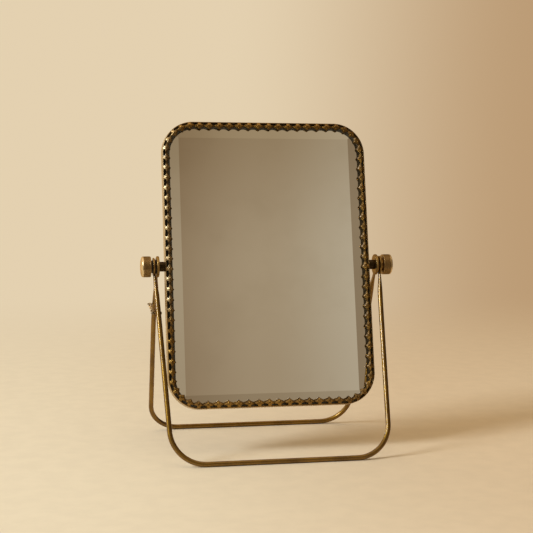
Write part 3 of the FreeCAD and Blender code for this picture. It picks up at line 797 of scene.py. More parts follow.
@dataclass
class WireLeg:
    """A leg bent from one wire, its ends narrowed where they meet their lugs."""

    name: str
    lug: str
    finish: AgedBrass
    reach: float
    wire_out: float
    taper: float
    bend: float
    set_out: float
    wire_radius: float = 2.0 * MM
    set_length: float = 60.0 * MM
    end_length: float = 24.0 * MM
    end_thickness: float = 0.50
    lug_lap: float = 0.7 * MM
    sides: int = 28
    foot_steps: int = 14
    bend_steps: int = 24
    run_steps: int = 10
    drop: float = field(init=False)
    length: float = field(init=False)
    lug_middle: float = field(init=False)
    lug_radius: float = field(init=False)
    top_half: float = field(init=False)

    def __post_init__(self) -> None:
        """Work out how far the leg runs, and where it meets its lugs."""
        self.drop = PIVOT.z - self.wire_radius
        self.length = math.hypot(self.reach, self.drop)
        low, high = corners_of(Side.RIGHT.of(self.lug))
        self.lug_middle = (low.x + high.x) / 2
        self.lug_radius = (high.z - low.z) / 2
        self.top_half = self.lug_middle + self.wire_out - self.set_out

    def in_row(self, across: float, up: float) -> Vector:
        """A point of the leg's own plane in the row's frame."""
        share = up / self.length
        return Vector((across, PIVOT.y + self.reach * (1 - share), self.wire_radius + self.drop * share))

    def half_line(self) -> list[Vector]:
        """The middle line of the leg's right half, from the foot's middle up to the lug.

        Returns:
            Points in the row's frame.
        """
        tilt = math.atan(self.taper / self.length)
        along = Vector((math.sin(tilt), math.cos(tilt)))
        out = Vector((along.y, -along.x))
        corner = Vector((self.top_half - self.taper, 0.0))
        back = self.bend / math.tan((math.pi / 2 + tilt) / 2)
        foot_end = corner.x - back
        flat = [Vector((foot_end * step / self.foot_steps, 0.0)) for step in range(self.foot_steps)]
        for step in range(self.bend_steps + 1):
            turn = (math.pi / 2 - tilt) * step / self.bend_steps
            flat.append(Vector((foot_end + self.bend * math.sin(turn), self.bend * (1 - math.cos(turn)))))
        start = corner + along * back
        end = corner + along * (self.length / math.cos(tilt) - self.set_length)
        flat += [start.lerp(end, step / self.run_steps) for step in range(1, self.run_steps + 1)]
        radius = self.set_length**2 / (2 * abs(self.set_out))
        stop = self.length - self.lug_radius + self.lug_lap
        for step in range(1, self.bend_steps + 1):
            turn = self.set_length / radius * step / self.bend_steps
            bow = math.copysign(radius * (1 - math.cos(turn)), self.set_out)
            spot = end + along * radius * math.sin(turn) + out * bow
            if spot.y < stop:
                flat.append(spot)
        flat.append(Vector((flat[-1].x, stop)))
        return [self.in_row(spot.x, spot.y) for spot in flat]

    def narrow_ends(self, mesh: bpy.types.Mesh) -> None:
        """Narrow the wire's ends and lead them to the middles of their lugs.

        Args:
            mesh: The wire's mesh.
        """
        top = self.top_half + self.set_out
        axis = Vector((0, self.reach, -self.drop)).normalized()
        for vertex in mesh.vertices:
            gone = (vertex.co - PIVOT).dot(axis)
            share = smooth_step((self.end_length - gone) / (self.end_length - self.lug_radius))
            if share:
                side = math.copysign(1.0, vertex.co.x)
                middle = top + (self.lug_middle - top) * share
                squeeze = 1 + (self.end_thickness - 1) * share
                vertex.co.x = side * (middle + (vertex.co.x * side - top) * squeeze)

    def tree(self) -> GeometryTree:
        """A tree that draws a round wire along a line and notes how far along and around each point is.

        Returns:
            The tree.
        """
        tree = GeometryTree("drawn_wire", {"Wire Radius": "Float", "Sides": "Int"})
        measure = tree.add("GeometryNodeSplineParameter").outputs
        curve = tree.make("GeometryNodeMeshToCurve", {0: tree.given["Geometry"]})
        circle = tree.circle(tree.given["Wire Radius"], tree.given["Sides"])
        feeds = {
            "Curve": tree.store(curve, "along", measure["Length"]),
            "Profile Curve": tree.store(circle, "around", measure["Factor"]),
            "Fill Caps": True,
        }
        tree.close(tree.smooth(tree.make("GeometryNodeCurveToMesh", feeds)))
        return tree

    def build(self) -> None:
        """Draw the wire along its line."""
        right = self.half_line()
        line = [(-spot.x, spot.y, spot.z) for spot in right[:0:-1]] + [tuple(spot) for spot in right]
        mesh = bpy.data.meshes.new(self.name)
        mesh.from_pydata(line, [(step, step + 1) for step in range(len(line) - 1)], [])
        thing = new_object(f"{self.name}_wire", mesh)
        values = {"Wire Radius": self.wire_radius, "Sides": self.sides, "Material": paint(self.finish)}
        self.tree().run(thing, values)
        self.narrow_ends(thing.data)
        settle(thing, self.name, [self.name])


@dataclass(frozen=True)
class Swell:
    """A soft swelling on both halves of a leaf, or a hollow if its height is below zero, in millimetres."""

    height: float
    across: float
    place: float
    wide: float
    long: float

    def at(self, across: float, place: float) -> float:
        """Its height at a point of the leaf."""
        aside, on = (abs(across) - self.across) / self.wide, (place - self.place) / self.long
        return self.height * math.exp(-(aside**2) - on**2)


@dataclass
class LeafGallery:
    """The pierced edge: a plain rim with a row of leaves that curl up from it and over the plate.

    A leaf's own sizes are in millimetres.
    """

    plane: TrayPlane
    count: int = 92
    phase: float = 0.5
    wobble: float = 3.0
    rim_radius: float = 0.38 * MM
    rim_in: float = 0.20 * MM
    rim_depth: float = 3.25 * MM
    rim_sides: int = 12
    rim_wear: float = 0.5
    corner_steps: int = 28
    seed: int = 7
    sheet: float = 0.5
    root_in: float = 0.10
    tip_in: float = 6.20
    crest: Pair = (2.60, 4.60)
    crest_radius: float = 0.60
    slopes: Pair = (0.62, 0.58)
    dome: float = 0.040
    swells: tuple[Swell, ...] = (
        Swell(-0.35, 0.0, 3.0, 0.60, 0.50), Swell(0.22, 1.75, 2.9, 0.70, 0.65), Swell(0.20, 0.0, 4.5, 0.60, 0.70)
    )
    half_widths: tuple[Pair, ...] = (
        (0.0, 1.5), (1.7, 1.3), (2.6, 4.15), (3.8, 4.15), (4.7, 1.5), (6.2, 0.1)
    )
    wear_root: float = 0.92
    wear_loss: Pair = (0.12, 0.015)
    under_wear: float = 0.3
    vein_pitch: float = 1.0
    vein_slant: float = 0.55

    def half_width(self, place: float) -> float:
        """How far the leaf reaches to each side, with smooth steps between its stations.

        Args:
            place: How far in from the edge.

        Returns:
            The half width there.
        """
        for (start, low), (end, high) in zip(self.half_widths, self.half_widths[1:]):
            if place <= end:
                return low + (high - low) * smooth_step((place - start) / (end - start))
        return self.half_widths[-1][1]

    def bent_line(self, steps: int) -> list[Vector]:
        """The leaf's side view: it slopes up from the root, bends over at the crest and slopes down to the tip.

        Args:
            steps: How many steps there are.

        Returns:
            Places in from the edge and to the front.
        """
        line: list[Vector] = []
        for step in range(steps + 1):
            place = self.root_in + (self.tip_in - self.root_in) * step / steps
            gone = place - self.crest[0]
            fall = math.hypot(gone, self.crest_radius) - self.crest_radius
            line.append(Vector((place, self.crest[1] - self.slopes[gone > 0] * fall)))
        return line

    def leaf(self, rows: int = 26, columns: int = 10) -> bpy.types.Object:
        """One leaf, embossed with a rib, veins and a hollow between its lobes.

        Args:
            rows: Steps from root to tip.
            columns: Steps across.

        Returns:
            A pattern object, with its worn places noted.
        """
        line = self.bent_line(rows)
        points: list[Vector] = []
        notes: dict[str, list[float]] = {"wear": [], "vein": [], "rib": []}
        for layer in (0, 1):
            for row, spot in enumerate(line):
                ahead = (line[min(row + 1, rows)] - line[max(row - 1, 0)]).normalized()
                up = Vector((-ahead.y, ahead.x))
                for column in range(columns + 1):
                    across = (2 * column / columns - 1) * self.half_width(spot.x)
                    relief = sum(swell.at(across, spot.x) for swell in self.swells)
                    out = up * (relief - self.dome * across**2 - layer * self.sheet)
                    points.append(Vector((across, spot.x + out.x, spot.y + out.y)) * MM)
                    rise = self.wear_root + relief - self.wear_loss[0] * spot.x - self.wear_loss[1] * across**2
                    notes["wear"].append(self.under_wear if layer else max(0.0, min(1.0, rise)))
                    vein = (spot.x - self.vein_slant * abs(across)) / self.vein_pitch
                    notes["vein"].append(2 * math.pi * vein)
                    notes["rib"].append(abs(across))
        wide = columns + 1
        under = (rows + 1) * wide
        faces = grid(rows + 1, wide, around=False)
        faces += [tuple(under + corner for corner in reversed(face)) for face in faces]
        border = list(range(wide)) + [row * wide + columns for row in range(1, rows + 1)]
        border += [rows * wide + column for column in range(columns - 1, -1, -1)]
        border += [row * wide for row in range(rows - 1, 0, -1)]
        faces += [(two, one, under + one, under + two) for one, two in zip(border, border[1:] + border[:1])]
        mesh = mesh_of("leaf_pattern", points, faces)
        for name, values in notes.items():
            note(mesh, name, values)
        soften(mesh, 60.0)
        return new_object("leaf_pattern", mesh)

    def edge(self, tree: GeometryTree, inset: Socket | float) -> Socket:
        """The tray's edge line, moved inwards.

        Args:
            tree: The gallery's tree.
            inset: How far it is moved.

        Returns:
            The line.
        """
        twice = tree.math("MULTIPLY", inset, 2.0)
        feeds = {name: tree.math("SUBTRACT", tree.given[name], twice) for name in ("Width", "Height")}
        box = tree.make("GeometryNodeCurvePrimitiveQuadrilateral", feeds, mode="RECTANGLE")
        corner = tree.math("SUBTRACT", tree.given["Corner"], inset)
        feeds = {"Curve": box, "Radius": corner, "Count": self.corner_steps}
        return tree.make("GeometryNodeFilletCurve", feeds, mode="POLY")

    def tree(self) -> GeometryTree:
        """A tree that lays leaves round a rectangle with round corners and adds the rim.

        Returns:
            The tree.
        """
        tree = GeometryTree("leaf_gallery", {
            "Width": "Float", "Height": "Float", "Corner": "Float", "Leaf Count": "Int", "Phase": "Float",
            "Leaf": "Object", "Rim Radius": "Float", "Rim Inset": "Float", "Rim Depth": "Float", "Wobble": "Float",
            "Seed": "Int",
        })
        given = tree.given
        share = tree.math("DIVIDE", tree.math("ADD", tree.index, given["Phase"]), given["Leaf Count"])
        feeds = {"Curves": self.edge(tree, 0.0), "Factor": share}
        spot = tree.add("GeometryNodeSampleCurve", feeds, mode="FACTOR", use_all_curves=True).outputs
        points = tree.make("GeometryNodePoints", {"Count": given["Leaf Count"], "Position": spot["Position"]})
        least = tree.math("MULTIPLY", given["Wobble"], -1.0)
        feeds = {index: tree.vector(*[limit] * 3) for index, limit in enumerate((least, given["Wobble"]))}
        feeds |= {"ID": tree.index, "Seed": given["Seed"]}
        shake = tree.make("FunctionNodeRandomValue", feeds, data_type="FLOAT_VECTOR")
        facing = tree.then(tree.facing("ZX", (0.0, 0.0, 1.0), spot["Tangent"]), tree.rotation(shake))
        leaves = tree.copies(points, "Leaf", facing)
        circle = tree.circle(given["Rim Radius"], self.rim_sides)
        feeds = {"Curve": self.edge(tree, given["Rim Inset"]), "Profile Curve": circle}
        bead = tree.make("GeometryNodeCurveToMesh", feeds)
        front = tree.make("ShaderNodeCombineXYZ", {2: given["Rim Depth"]})
        lifted = tree.make("GeometryNodeTransform", {"Geometry": bead, "Translation": front})
        tree.close(leaves, tree.smooth(tree.store(lifted, "wear", self.rim_wear)))
        return tree

    def build(self) -> None:
        """Lay the leaves round the tray."""
        pattern = self.leaf()
        thing = new_object("leaf_gallery")
        self.tree().run(thing, {
            "Width": self.plane.width, "Height": self.plane.height, "Corner": self.plane.corner,
            "Leaf Count": self.count, "Phase": self.phase, "Leaf": pattern, "Rim Radius": self.rim_radius,
            "Rim Inset": self.rim_in, "Rim Depth": self.rim_depth, "Wobble": math.radians(self.wobble),
            "Seed": self.seed, "Material": paint(BRASS_LEAF),
        })
        thing.data.transform(self.plane.matrix())
        bpy.data.objects.remove(pattern)
        settle(thing, "mirror", ["gallery"])


@dataclass
class Knob:
    """A clamping knob: a ribbed grip between two rims, with a crowned end."""

    side: Side
    crown_rise: float = 1.7 * MM
    crown_power: float = 0.8
    crown_steps: int = 13
    rim: float = 0.9 * MM
    rim_drop: float = 0.12 * MM
    step: float = 0.35 * MM
    bore: float = 2.05 * MM
    edge_radius: float = 0.25 * MM
    ribs: int = 48
    rib_foot: float = 0.40 * MM
    rib_crest: float = 0.24 * MM
    rib_drop: float = 0.06 * MM
    rib_root: float = 1.3
    rib_lap: float = 0.9
    rib_wear: float = 0.12
    core_wear: float = 0.1
    steps_round: int = 112
    inner: float = field(init=False)
    outer: float = field(init=False)
    radius: float = field(init=False)

    def __post_init__(self) -> None:
        """Take the knob's place and size from its solid."""
        low, high = corners_of(self.side.of("knob"))
        self.inner, crown = sorted((abs(low.x), abs(high.x)))
        self.outer = crown - self.crown_rise
        self.radius = (high.z - low.z) / 2

    def rib(self) -> bpy.types.Object:
        """One rib of the grip, on top of the knob's line.

        Returns:
            A pattern object.
        """
        low, shoulder = self.radius - self.step * self.rib_root, self.radius - self.rib_drop
        right = ((0.0, self.radius), (self.rib_crest, shoulder), (self.rib_foot, low))
        section = [(-across, up) for across, up in right[:0:-1]] + list(right)
        start, end = self.inner + self.rim * self.rib_lap, self.outer - self.rim * self.rib_lap
        points = [Vector((self.side.value * along, across, up)) for along in (start, end) for across, up in section]
        wide = len(section)
        faces = grid(2, wide, around=False) + [tuple(range(wide)), tuple(range(wide, 2 * wide))]
        mesh = mesh_of("rib_pattern", points, faces)
        soften(mesh, 40.0)
        note(mesh, "wear", [self.rib_wear * (vertex.co.z > (low + shoulder) / 2) for vertex in mesh.vertices])
        return new_object("rib_pattern", mesh)

    def core(self) -> bpy.types.Mesh:
        """The turned part of the knob about the line through the origin.

        Returns:
            Its mesh.
        """
        low, edge = self.radius - self.step, self.radius - self.rim_drop
        start, end = self.inner + self.rim, self.outer - self.rim
        outline = [
            (self.inner, self.bore), (self.inner, edge), (start, edge), (start, low), (end, low), (end, edge),
            (self.outer, edge),
        ]
        soft = rounded(outline, self.edge_radius)
        for step in range(1, self.crown_steps):
            turn = math.pi / 2 * step / self.crown_steps
            along = self.outer + self.crown_rise * math.sin(turn)
            soft.append((along, edge * math.cos(turn) ** self.crown_power))
        sided = [(along * self.side.value, radius) for along, radius in soft]
        points, faces = lathe(sided, Vector((0, 0, 0)), self.steps_round)
        faces.append(tuple(range(len(points) - self.steps_round, len(points))))
        mesh = mesh_of(self.side.of("knob_core"), points, faces)
        soften(mesh, 40.0)
        # The crown is noted fully worn, so it takes the pale bright brass: partly rubbed by fingers, partly a painted
        # highlight on the end that faces the lamp.
        note(mesh, "wear", [1.0 if abs(vertex.co.x) > self.outer else self.core_wear for vertex in mesh.vertices])
        return mesh

    def tree(self) -> GeometryTree:
        """A tree that sets copies of a rib round the X axis.

        Returns:
            The tree.
        """
        tree = GeometryTree("rib_ring", {"Rib": "Object", "Rib Count": "Int"})
        count = tree.given["Rib Count"]
        turn = tree.math("DIVIDE", tree.math("MULTIPLY", tree.index, 2 * math.pi), count)
        points = tree.make("GeometryNodePoints", {"Count": count})
        tree.close(tree.given["Geometry"], tree.copies(points, "Rib", tree.rotation(tree.vector(turn))))
        return tree

    def build(self) -> None:
        """Set the ribs round the turned part."""
        pattern = self.rib()
        thing = new_object(self.side.of("grip_knob"), self.core())
        self.tree().run(thing, {"Rib": pattern, "Rib Count": self.ribs, "Material": paint(BRASS_KNOB)})
        thing.data.transform(Matrix.Translation(PIVOT))
        bpy.data.objects.remove(pattern)
        settle(thing, self.side.of("knob"), [self.side.of("knob")])


@dataclass
class ChainEye:
    """A pin riveted through a leg's wire, with a ring at its outer end for the chain."""

    name: str
    body: str
    tilt: float = 0.0
    ring_radius: float = 1.5 * MM
    ring_wire: float = 0.45 * MM
    pin_radius: float = 0.7 * MM
    head_radius: float = 1.2 * MM
    head_thick: float = 0.7 * MM
    head_shape: tuple[Pair, ...] = ((0.45, 1.0), (0.85, 0.65))
    ring_steps: int = 40
    ring_sides: int = 12
    pin_steps: int = 28
    pole: float = 0.01 * MM
    edge_radius: float = 0.2 * MM
    middle: Vector = field(init=False)
    head_end: float = field(init=False)

    def __post_init__(self) -> None:
        """Find the ring's middle and the pin's head from the solid."""
        low, high = corners_of(self.name)
        self.middle = (low + high) / 2
        self.middle.x = low.x + self.ring_radius + self.ring_wire
        self.head_end = high.x

    def build(self) -> None:
        """Make the pin, its head and its ring."""
        tilt = Matrix.Rotation(self.tilt, 3, "X")
        path = [
            self.middle + tilt @ Vector((math.cos(turn), math.sin(turn), 0)) * self.ring_radius
            for turn in turns(self.ring_steps)
        ]
        points, faces = ring_tube(path, self.ring_wire, self.ring_sides)
        start, seat = self.middle.x + self.ring_radius, self.head_end - self.head_thick
        outline = [
            (start, self.pole), (start, self.pin_radius), (seat, self.pin_radius), (seat, self.head_radius),
            *((seat + self.head_thick * along, self.head_radius * wide) for along, wide in self.head_shape),
            (seat + self.head_thick, self.pole),
        ]
        line = Vector((0, self.middle.y, self.middle.z))
        more, closed = lathe(rounded(outline, self.edge_radius), line, self.pin_steps)
        faces += [tuple(len(points) + corner for corner in face) for face in closed]
        mesh = mesh_of(self.name, points + more, faces)
        soften(mesh, 40.0)
        thing = new_object(f"{self.name}_pin", mesh)
        mesh.materials.append(paint(BRASS_CHAIN))
        settle(thing, self.body, [self.name])


def chain_eyes() -> tuple[ChainEye, ChainEye]:
    """The two eyes, each tilted to the line between them.

    Returns:
        The front eye and the rear eye.
    """
    eyes = ChainEye("front_chain_eye", "front_leg"), ChainEye("rear_chain_eye", "rear_leg")
    run = eyes[1].middle - eyes[0].middle
    for eye in eyes:
        eye.tilt = math.atan2(run.z, run.y)
    return eyes


@dataclass
class StayChain:
    """Oval links in a row between the two eyes, every other one turned a quarter."""

    front: ChainEye
    rear: ChainEye
    count: int = 7
    wire_radius: float = 0.4 * MM
    half_width: float = 1.15 * MM
    play: float = 0.2 * MM
    bend_steps: int = 12
    sides: int = 10

    def link(self, half_length: float) -> bpy.types.Object:
        """One link about the origin, the long way along X.

        Args:
            half_length: Half its length between the middles of its ends' wire.

        Returns:
            A pattern object.
        """
        straight = half_length - self.half_width
        path: list[Vector] = []
        for end, begin in ((straight, -math.pi / 2), (-straight, math.pi / 2)):
            for step in range(self.bend_steps + 1):
                turn = begin + math.pi * step / self.bend_steps
                path.append(Vector((end + self.half_width * math.cos(turn), self.half_width * math.sin(turn), 0)))
        mesh = mesh_of("link_pattern", *ring_tube(path, self.wire_radius, self.sides))
        mesh.shade_smooth()
        return new_object("link_pattern", mesh)

    def tree(self) -> GeometryTree:
        """A tree that lays links along a straight line.

        Returns:
            The tree.
        """
        tree = GeometryTree("link_row", {
            "Link": "Object", "Link Count": "Int", "Start": "Vector", "Pitch": "Vector", "Across": "Vector",
        })
        given = tree.given
        feeds = {"Count": given["Link Count"], "Start Location": given["Start"], "Offset": given["Pitch"]}
        line = tree.make("GeometryNodeMeshLine", feeds, mode="OFFSET")
        quarter = tree.math("MULTIPLY", tree.math("MODULO", tree.index, 2.0), math.pi / 2)
        facing = tree.facing("XY", given["Pitch"], given["Across"])
        tree.close(tree.copies(line, "Link", tree.then(facing, tree.rotation(tree.vector(quarter)))))
        return tree

    def build(self) -> None:
        """Hang the links between the eyes."""
        start, end = self.front.middle, self.rear.middle
        run = end - start
        way = run.normalized()
        wire = 2 * self.wire_radius
        overlap = wire + self.play
        ends = 2 * self.front.ring_wire + wire + 2 * self.play - 2 * self.front.ring_radius
        half_length = (run.length + ends + overlap * (self.count - 1)) / (2 * self.count)
        first = self.front.ring_radius + half_length - self.front.ring_wire - self.wire_radius - self.play
        pitch = 2 * half_length - overlap
        pattern = self.link(half_length)
        thing = new_object("stay_chain_links")
        self.tree().run(thing, {
            "Link": pattern, "Link Count": self.count, "Start": start + way * first, "Pitch": way * pitch,
            "Across": Vector((1, 0, 0)).cross(way), "Material": paint(BRASS_CHAIN),
        })
        bpy.data.objects.remove(pattern)
        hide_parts("stay_chain")
        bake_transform(thing)
        LOG.info("%s: %d links between the legs", thing.name, self.count)


@dataclass
class TurnedRing:
    """A turned ring of the pivots: a lug, a washer or a boss, with softened edges."""

    piece: str
    body: str
    finish: Finish
    slot: str
    edge: float = 0.5 * MM
    bore: float = 2.05 * MM
    inner_slant: float = 0.0
    outer_slant: float = 0.0
    sides: tuple[Side, ...] = tuple(Side)

    def build(self, side: Side) -> None:
        """Turn the ring for one side.

        Args:
            side: Which end of the pivots' line it is on.
        """
        node = side.of(self.piece)
        low, high = corners_of(node)
        radius = (high.z - low.z) / 2
        inner, outer = sorted((low.x, high.x), key=abs)
        section = [(inner, self.bore)]
        for face, slant, way in ((inner, self.inner_slant, 1), (outer, self.outer_slant, -1)):
            rim = (face + way * side.value * slant, radius)
            slanted = [(face, radius - 2 * slant), rim] if slant else [rim]
            section += slanted[::way]
        section.append((outer, self.bore))
        outline = rounded(section, self.edge)
        outline.append(outline[0])
        mesh = mesh_of(node, *lathe(outline, PIVOT))
        soften(mesh)
        mesh.materials.append(paint(self.finish))
        settle(new_object(f"{node}_ring", mesh), self.body, [node])


PIVOT_RINGS = (
    TurnedRing("boss", "mirror", BRASS_BOSS, "brass_lug", bore=2.0 * MM),
    TurnedRing("rear_lug", "rear_leg", BRASS_LUG, "brass_lug", 0.35 * MM, outer_slant=0.45 * MM),
    TurnedRing("inner_washer", "front_leg", FIBRE_GAP_SHADE, "fibre", 0.15 * MM),
    TurnedRing("front_lug", "front_leg", BRASS_LUG, "brass_lug", 0.3 * MM, inner_slant=0.60 * MM),
    # Painted shade: the left outer washer is dark fibre for the dark gap beside its knob, and the right one is brass.
    TurnedRing("outer_washer", "front_leg", FIBRE_GAP_SHADE, "fibre", 0.15 * MM, sides=(Side.LEFT,)),
    TurnedRing("outer_washer", "front_leg", BRASS_LUG, "fibre", 0.15 * MM, sides=(Side.RIGHT,)),
)


@dataclass
class Tray:
    """The tray round the plate: a wall and a back sheet with a softly turned edge."""

    plane: TrayPlane
    front: float = 3.1 * MM
    back: float = 4.2 * MM
    floor: float = 3.5 * MM
    wall: float = 0.45 * MM
    fold: float = 1.4 * MM
    flare: float = 0.8 * MM
    steps: int = 24

    def loop(self, inset: float, level: float) -> list[Vector]:
        """A rectangle with round corners in the tray's plane.

        Args:
            inset: How far inside the tray's edge it runs.
            level: How far to the front it lies.

        Returns:
            Its points, the same number for any inset.
        """
        radius = self.plane.corner - inset
        points: list[Vector] = []
        for quarter, (right, above) in enumerate(((1, 1), (-1, 1), (-1, -1), (1, -1))):
            across = right * (self.plane.width / 2 - self.plane.corner)
            up = above * (self.plane.height / 2 - self.plane.corner)
            for step in range(self.steps + 1):
                turn = math.pi / 2 * (quarter + step / self.steps)
                points.append(Vector((across + radius * math.cos(turn), up + radius * math.sin(turn), level)))
        return points

    def build(self) -> None:
        """Fold the sheet up into the tray."""
        section = [
            (self.wall, -self.floor), (self.wall, self.front), (0.0, self.front), (-self.flare, -self.back),
            (self.fold * 2, -self.back),
        ]
        loops = [self.loop(inset, level) for inset, level in rounded(section, self.fold, 6)]
        count = len(loops[0])
        points = [point for loop in loops for point in loop]
        faces = grid(len(loops), count)
        faces += [tuple(range(count)), tuple(range(len(points) - count, len(points)))]
        mesh = mesh_of("tray_shell", points, faces)
        mesh.transform(self.plane.matrix())
        soften(mesh, 30.0)
        mesh.materials.append(paint(BRASS_TRAY))
        settle(new_object("tray_shell", mesh), "mirror", ["frame_band", "back_plate"])


@dataclass
class PaintedNodes:
    """The pieces whose own solids are shown, each with its finish."""

    finishes: dict[str, Finish]

    def dress(self) -> None:
        """Give each piece its material."""
        for name, finish in self.finishes.items():
            mesh = frame["nodes"][name].data
            mesh.materials.clear()
            mesh.materials.append(paint(finish))
            LOG.info("%s wears %s", name, finish.name)


@dataclass(frozen=True)
class Lamp:
    """A soft lamp with a flat face."""

    name: str
    spot: Colour
    aim: Colour
    size: Pair
    watts: float
    tint: Colour

    def hang(self) -> None:
        """Hang the lamp and point it at its aim."""
        data = bpy.data.lights.new(self.name, "AREA")
        data.shape = "RECTANGLE"
        data.size, data.size_y = self.size
        data.energy = self.watts
        data.color = self.tint
        thing = bpy.data.objects.new(self.name, data)
        thing.location = self.spot
        thing.rotation_euler = (Vector(self.aim) - Vector(self.spot)).to_track_quat("-Z", "Y").to_euler()
        bpy.context.scene.collection.objects.link(thing)


LAMPS = (
    Lamp("key", (-3.0, -1.0, 1.9), (0, 0, 0.12), (1.0, 1.2), 104.0, (0.88, 0.95, 1.0)),
    Lamp("top", (-0.3, -0.3, 1.7), (0, 0, 0.1), (1.4, 1.4), 2.0, (1.0, 0.86, 0.66)),
)


@dataclass
class Studio:
    """The floor, the lamps, the surroundings and the camera."""

    # The floor's own pale colour on the left, and a darker, more orange one to the right as painted shade.
    floor_and_shade_colours: tuple[Colour, Colour] = ((0.82, 0.755, 0.605), (0.74, 0.610, 0.440))
    floor_shade_span: Pair = (-0.20, 0.20)
    floor_grain: float = 60.0
    grain_span: Pair = (0.3, 0.7)
    grain_shade: float = 0.96
    floor_rough: float = 0.85
    floor_shine: float = 0.2
    floor_middle: float = 0.55
    floor_radius: float = 0.92
    floor_steps: int = 96
    floor_edge: float = 0.10
    mirrored_edge: float = 0.30
    fade_back: Pair = (0.12, 1.20)
    behind: tuple[Colour, Colour] = ((0.775, 0.635, 0.435), (0.500, 0.330, 0.180))
    behind_across: Pair = (0.16, 0.42)
    behind_ahead: Pair = (0.50, 0.86)
    front_across: Stops = (
        (-1.0, (0.50, 0.42, 0.30)), (-0.20, (0.40, 0.315, 0.205)), (0.10, (0.28, 0.195, 0.112)),
        (0.20, (0.397, 0.306, 0.196)), (0.29, (0.495, 0.418, 0.302)), (0.50, (0.285, 0.21, 0.128)),
        (1.0, (0.16, 0.115, 0.07)),
    )
    front_up: Stops = (
        (-1.0, (0.5, 0.5, 0.5)), (0.0, (0.75, 0.72, 0.68)), (0.23, (0.93, 0.92, 0.91)), (0.33, (1.0, 1.0, 1.0)),
        (0.46, (0.76, 0.70, 0.62)), (0.70, (0.90, 0.86, 0.78)), (1.0, (0.9, 0.88, 0.85)),
    )
    rear_across: Stops = (
        (-1.0, (1.0, 0.84, 0.62)), (-0.55, (1.0, 0.84, 0.62)), (-0.15, (0.86, 0.69, 0.47)),
        (0.12, (0.66, 0.49, 0.31)), (0.45, (0.30, 0.195, 0.11)), (1.0, (0.13, 0.09, 0.055)),
    )
    rear_span: Pair = (-0.2, 0.6)
    ceiling: Colour = (0.88, 0.67, 0.42)
    ceiling_span: Pair = (0.75, 0.92)
    focal: float = 1200.0
    frame_pixels: float = 533.0
    sensor: float = 36.0
    eye: Vector = field(default_factory=lambda: Vector((-197.7, -955.1, 224.2)) * MM)
    yaw: float = 11.7
    pitch: float = 4.55
    roll: float = 0.31

    def camera(self) -> None:
        """Stand the camera where the picture was taken from."""
        data = bpy.data.cameras.new("camera")
        data.sensor_width = self.sensor
        data.lens = self.focal / self.frame_pixels * data.sensor_width
        thing = bpy.data.objects.new("camera", data)
        bpy.context.scene.collection.objects.link(thing)
        yaw, pitch, roll = (math.radians(angle) for angle in (self.yaw, self.pitch, self.roll))
        ahead = Vector((math.sin(yaw) * math.cos(pitch), math.cos(yaw) * math.cos(pitch), -math.sin(pitch)))
        right = Vector((math.cos(yaw), -math.sin(yaw), 0.0))
        up = right.cross(ahead)
        turned = right * math.cos(roll) + up * math.sin(roll)
        upright = up * math.cos(roll) - right * math.sin(roll)
        pose = Matrix((turned, upright, -ahead)).transposed().to_4x4()
        thing.matrix_world = Matrix.Translation(self.eye) @ pose
        bpy.context.scene.camera = thing

    def backdrop(self, tree: ColourTree, heading: Socket) -> Socket:
        """The backdrop's colour, which deepens ahead and to the right.

        Args:
            tree: The nodes of the floor or the room.
            heading: The direction that is looked in.

        Returns:
            The colour.
        """
        course = tree.axes(heading)
        limits = (("X", self.behind_across), ("Y", self.behind_ahead))
        shares = (tree.span(course[axis], span) for axis, span in limits)
        return tree.mix(tree.sum("MULTIPLY", *shares), *self.behind)

    def floor(self) -> None:
        """Lay a round pale floor, painted darker and more orange to the right as shade, that fades into the backdrop
        far off, and thins out in reflections.
        """
        rim = [
            (self.floor_radius * math.cos(turn), self.floor_radius * math.sin(turn) + self.floor_middle, 0.0)
            for turn in turns(self.floor_steps)
        ]
        mesh = mesh_of("floor", rim, [tuple(range(self.floor_steps))])
        shader = Shader("pale_floor")
        axes = shader.axes(shader.place)
        grain = shader.span(shader.noise(self.floor_grain, 4.0), self.grain_span)
        # Painted shade: the floor turns darker and more orange towards the right.
        side = shader.span(axes["X"], self.floor_shade_span)
        shades = (tuple(part * self.grain_shade for part in colour) for colour in self.floor_and_shade_colours)
        colour = shader.mix(grain, shader.mix(side, *self.floor_and_shade_colours), shader.mix(side, *shades))
        shader.finish({"Base Color": colour, "Roughness": self.floor_rough, "Specular IOR Level": self.floor_shine})
        feeds = {0: shader.place, 1: (0.0, self.floor_middle, 0.0)}
        distance = shader.add("ShaderNodeVectorMath", feeds, operation="DISTANCE").outputs["Value"]
        beside, thin = (
            shader.span(distance, (self.floor_radius - edge, self.floor_radius))
            for edge in (self.floor_edge, self.mirrored_edge)
        )
        far = shader.sum("MAXIMUM", beside, shader.span(axes["Y"], self.fade_back))
        away = shader.make("ShaderNodeVectorMath", {0: shader.place, 1: self.eye}, operation="SUBTRACT")
        heading = shader.make("ShaderNodeVectorMath", {0: away}, operation="NORMALIZE")
        glow = shader.make("ShaderNodeEmission", {"Color": self.backdrop(shader, heading)})
        path = shader.add("ShaderNodeLightPath").outputs
        seen = shader.sum("MULTIPLY", far, path["Is Camera Ray"])
        both = shader.make("ShaderNodeMixShader", {0: seen, 1: shader.surface.outputs[0], 2: glow})
        clear = shader.make("ShaderNodeBsdfTransparent")
        mirrored = shader.sum("MULTIPLY", thin, path["Is Glossy Ray"])
        fading = shader.make("ShaderNodeMixShader", {0: mirrored, 1: both, 2: clear})
        shader.feed(shader.output, fading)
        mesh.materials.append(shader.material)
        new_object("floor", mesh)

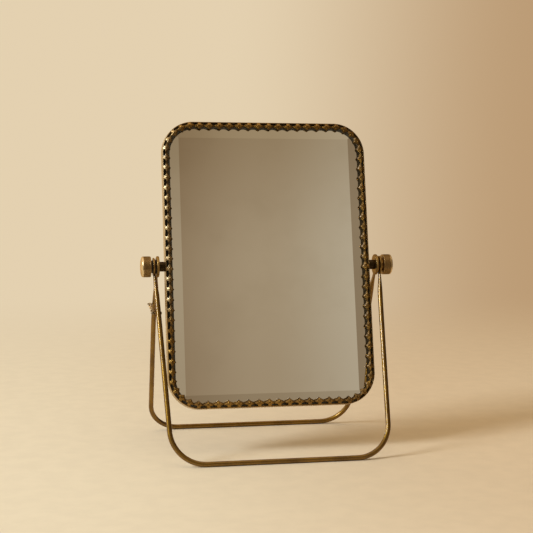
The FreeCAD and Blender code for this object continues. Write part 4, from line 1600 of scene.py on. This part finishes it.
    def surroundings(self) -> None:
        """Colour the room: a dim taupe wall in front, lighter to one side, and a pale wall behind."""
        world = bpy.data.worlds.new("room")
        bpy.context.scene.world = world
        world.use_nodes = True
        tree = ColourTree(world.node_tree)
        heading = tree.add("ShaderNodeTexCoord").outputs["Generated"]
        course = tree.axes(heading)
        across, up = tree.ramp(course["X"], self.front_across), tree.ramp(course["Z"], self.front_up)
        front = tree.mix(1.0, across, up, "MULTIPLY")
        room = tree.mix(tree.span(course["Y"], self.rear_span), front, tree.ramp(course["X"], self.rear_across))
        roofed = tree.mix(tree.span(course["Z"], self.ceiling_span), room, self.ceiling)
        seen = tree.add("ShaderNodeLightPath").outputs["Is Camera Ray"]
        colour = tree.mix(seen, roofed, self.backdrop(tree, heading))
        light = tree.make("ShaderNodeBackground", {"Color": colour})
        tree.add("ShaderNodeOutputWorld", {"Surface": light})

    def build(self) -> None:
        """Set the whole studio."""
        bpy.context.scene.view_settings.view_transform = "Standard"
        self.camera()
        self.floor()
        self.surroundings()
        for lamp in LAMPS:
            lamp.hang()


def main() -> None:
    """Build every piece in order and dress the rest."""
    logging.basicConfig(level=logging.INFO, format="%(message)s")
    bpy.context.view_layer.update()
    plane = TrayPlane()
    WireLeg(
        "front_leg", "front_lug", BRASS_FRONT_WIRE_SHADED, reach=-61.0 * MM, wire_out=-0.1 * MM, taper=6.85 * MM,
        bend=27.5 * MM, set_out=0.3 * MM,
    ).build()
    WireLeg(
        "rear_leg", "rear_lug", BRASS_REAR_WIRE, reach=77.0 * MM, wire_out=-1.35 * MM, taper=4.4 * MM,
        bend=25.0 * MM, set_out=-3.25 * MM,
    ).build()
    LeafGallery(plane).build()
    for side in Side:
        Knob(side).build()
    eyes = chain_eyes()
    for eye in eyes:
        eye.build()
    StayChain(*eyes).build()
    Tray(plane).build()
    for ring in PIVOT_RINGS:
        for side in ring.sides:
            ring.build(side)
    finishes: dict[str, Finish] = {"backing_board": BOARD, "mirror_glass": PLATE}
    finishes |= {side.of("stud"): BRASS_LUG for side in Side}
    PaintedNodes(finishes).dress()
    Studio().build()


if __name__ == "__main__":
    main()
